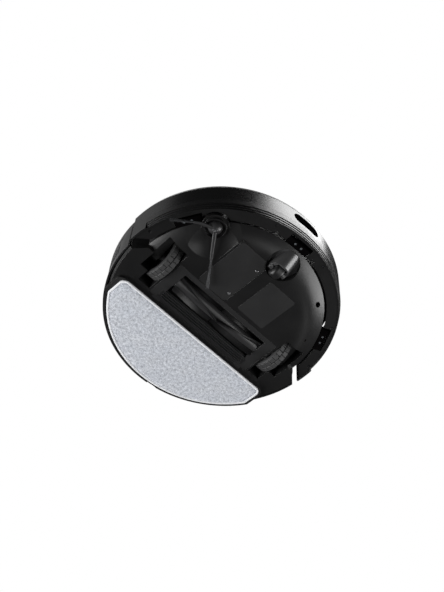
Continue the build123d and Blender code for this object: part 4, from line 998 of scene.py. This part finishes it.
def floor_finish():
    """Pale matt floor that lets light and the eye through from below."""
    material, tree, shader, at = new_material("pale_floor")
    grains = place(tree, grain_group, {"Vector": at, "Grain Size": 3.0, "Cloud Size": 400.0})
    tree.links.new(blend_colours(tree, grains["Clouds"], (0.80, 0.80, 0.80), (0.86, 0.86, 0.86)),
                   shader.inputs["Base Color"])
    shader.inputs["Roughness"].default_value = 0.7
    see_through = add(tree, "ShaderNodeBsdfTransparent")
    sides = add(tree, "ShaderNodeMixShader")
    surface = add(tree, "ShaderNodeNewGeometry")
    tree.links.new(surface.outputs["Backfacing"], sides.inputs[0])
    tree.links.new(shader.outputs[0], sides.inputs[1])
    tree.links.new(see_through.outputs[0], sides.inputs[2])
    tree.links.new(sides.outputs[0], tree.nodes["Material Output"].inputs["Surface"])
    return material


floor_mesh = bpy.data.meshes.new("studio_floor")
corner_signs = [(-1, -1), (1, -1), (1, 1), (-1, 1)]
corners = [(x * floor_half, y * floor_half, -floor_drop) for x, y in corner_signs]
floor_mesh.from_pydata(corners, [], [(0, 1, 2, 3)])
floor_mesh.materials.append(floor_finish())
floor = bpy.data.objects.new("studio_floor", floor_mesh)
collection.objects.link(floor)
floor.visible_shadow = False
floor.visible_glossy = False
floor.visible_diffuse = False


def softbox(name, direction, distance, width, height, power):
    """A soft light that looks at the robot from a direction."""
    data = bpy.data.lights.new(name, "AREA")
    data.shape = "RECTANGLE"
    data.size = width
    data.size_y = height
    data.energy = power
    light = bpy.data.objects.new(name, data)
    collection.objects.link(light)
    away = Vector(direction).normalized()
    light.location = away * distance
    light.rotation_euler = away.to_track_quat("Z", "Y").to_euler()


softbox("bumper_light", (-0.24, 0.42, 0.86), 1.6, 1.0, 0.6, 12.0)
softbox("overhead_light", (-0.12, -0.22, 0.97), 1.6, 0.9, 0.7, 2.2)
softbox("side_light", (0.45, -0.32, 0.83), 1.7, 0.8, 0.6, 0.5)
softbox("rear_light", (0.0, -0.58, 0.81), 1.7, 0.8, 0.5, 0.6)
softbox("slope_light", (-0.72, 0.50, -0.50), 1.6, 1.1, 0.7, 12.0)
softbox("hood_light", (-0.90, 0.42, -0.22), 1.5, 0.6, 0.6, 6.0)
softbox("dish_light", (-0.68, -0.16, -0.71), 1.6, 0.35, 0.35, 0.4)
softbox("front_light", (-0.30, 0.34, -0.90), 1.6, 0.6, 0.6, 1.6)
softbox("pad_light", (0.75, -0.60, -0.45), 1.8, 1.4, 1.4, 46.0)

world = bpy.data.worlds.new("studio")
bpy.context.scene.world = world
world.use_nodes = True
sky = world.node_tree
room = sky.nodes["Background"]
room.inputs["Color"].default_value = (1.0, 1.0, 1.0, 1.0)
room.inputs["Strength"].default_value = room_light
backdrop = add(sky, "ShaderNodeBackground", {"Color": (1.0, 1.0, 1.0, 1.0), "Strength": 1.0})
chooser = add(sky, "ShaderNodeMixShader")
paths = add(sky, "ShaderNodeLightPath")
sky.links.new(paths.outputs["Is Camera Ray"], chooser.inputs[0])
sky.links.new(room.outputs[0], chooser.inputs[1])
sky.links.new(backdrop.outputs[0], chooser.inputs[2])
sky.links.new(chooser.outputs[0], sky.nodes["World Output"].inputs["Surface"])
bpy.context.scene.view_settings.view_transform = "Standard"
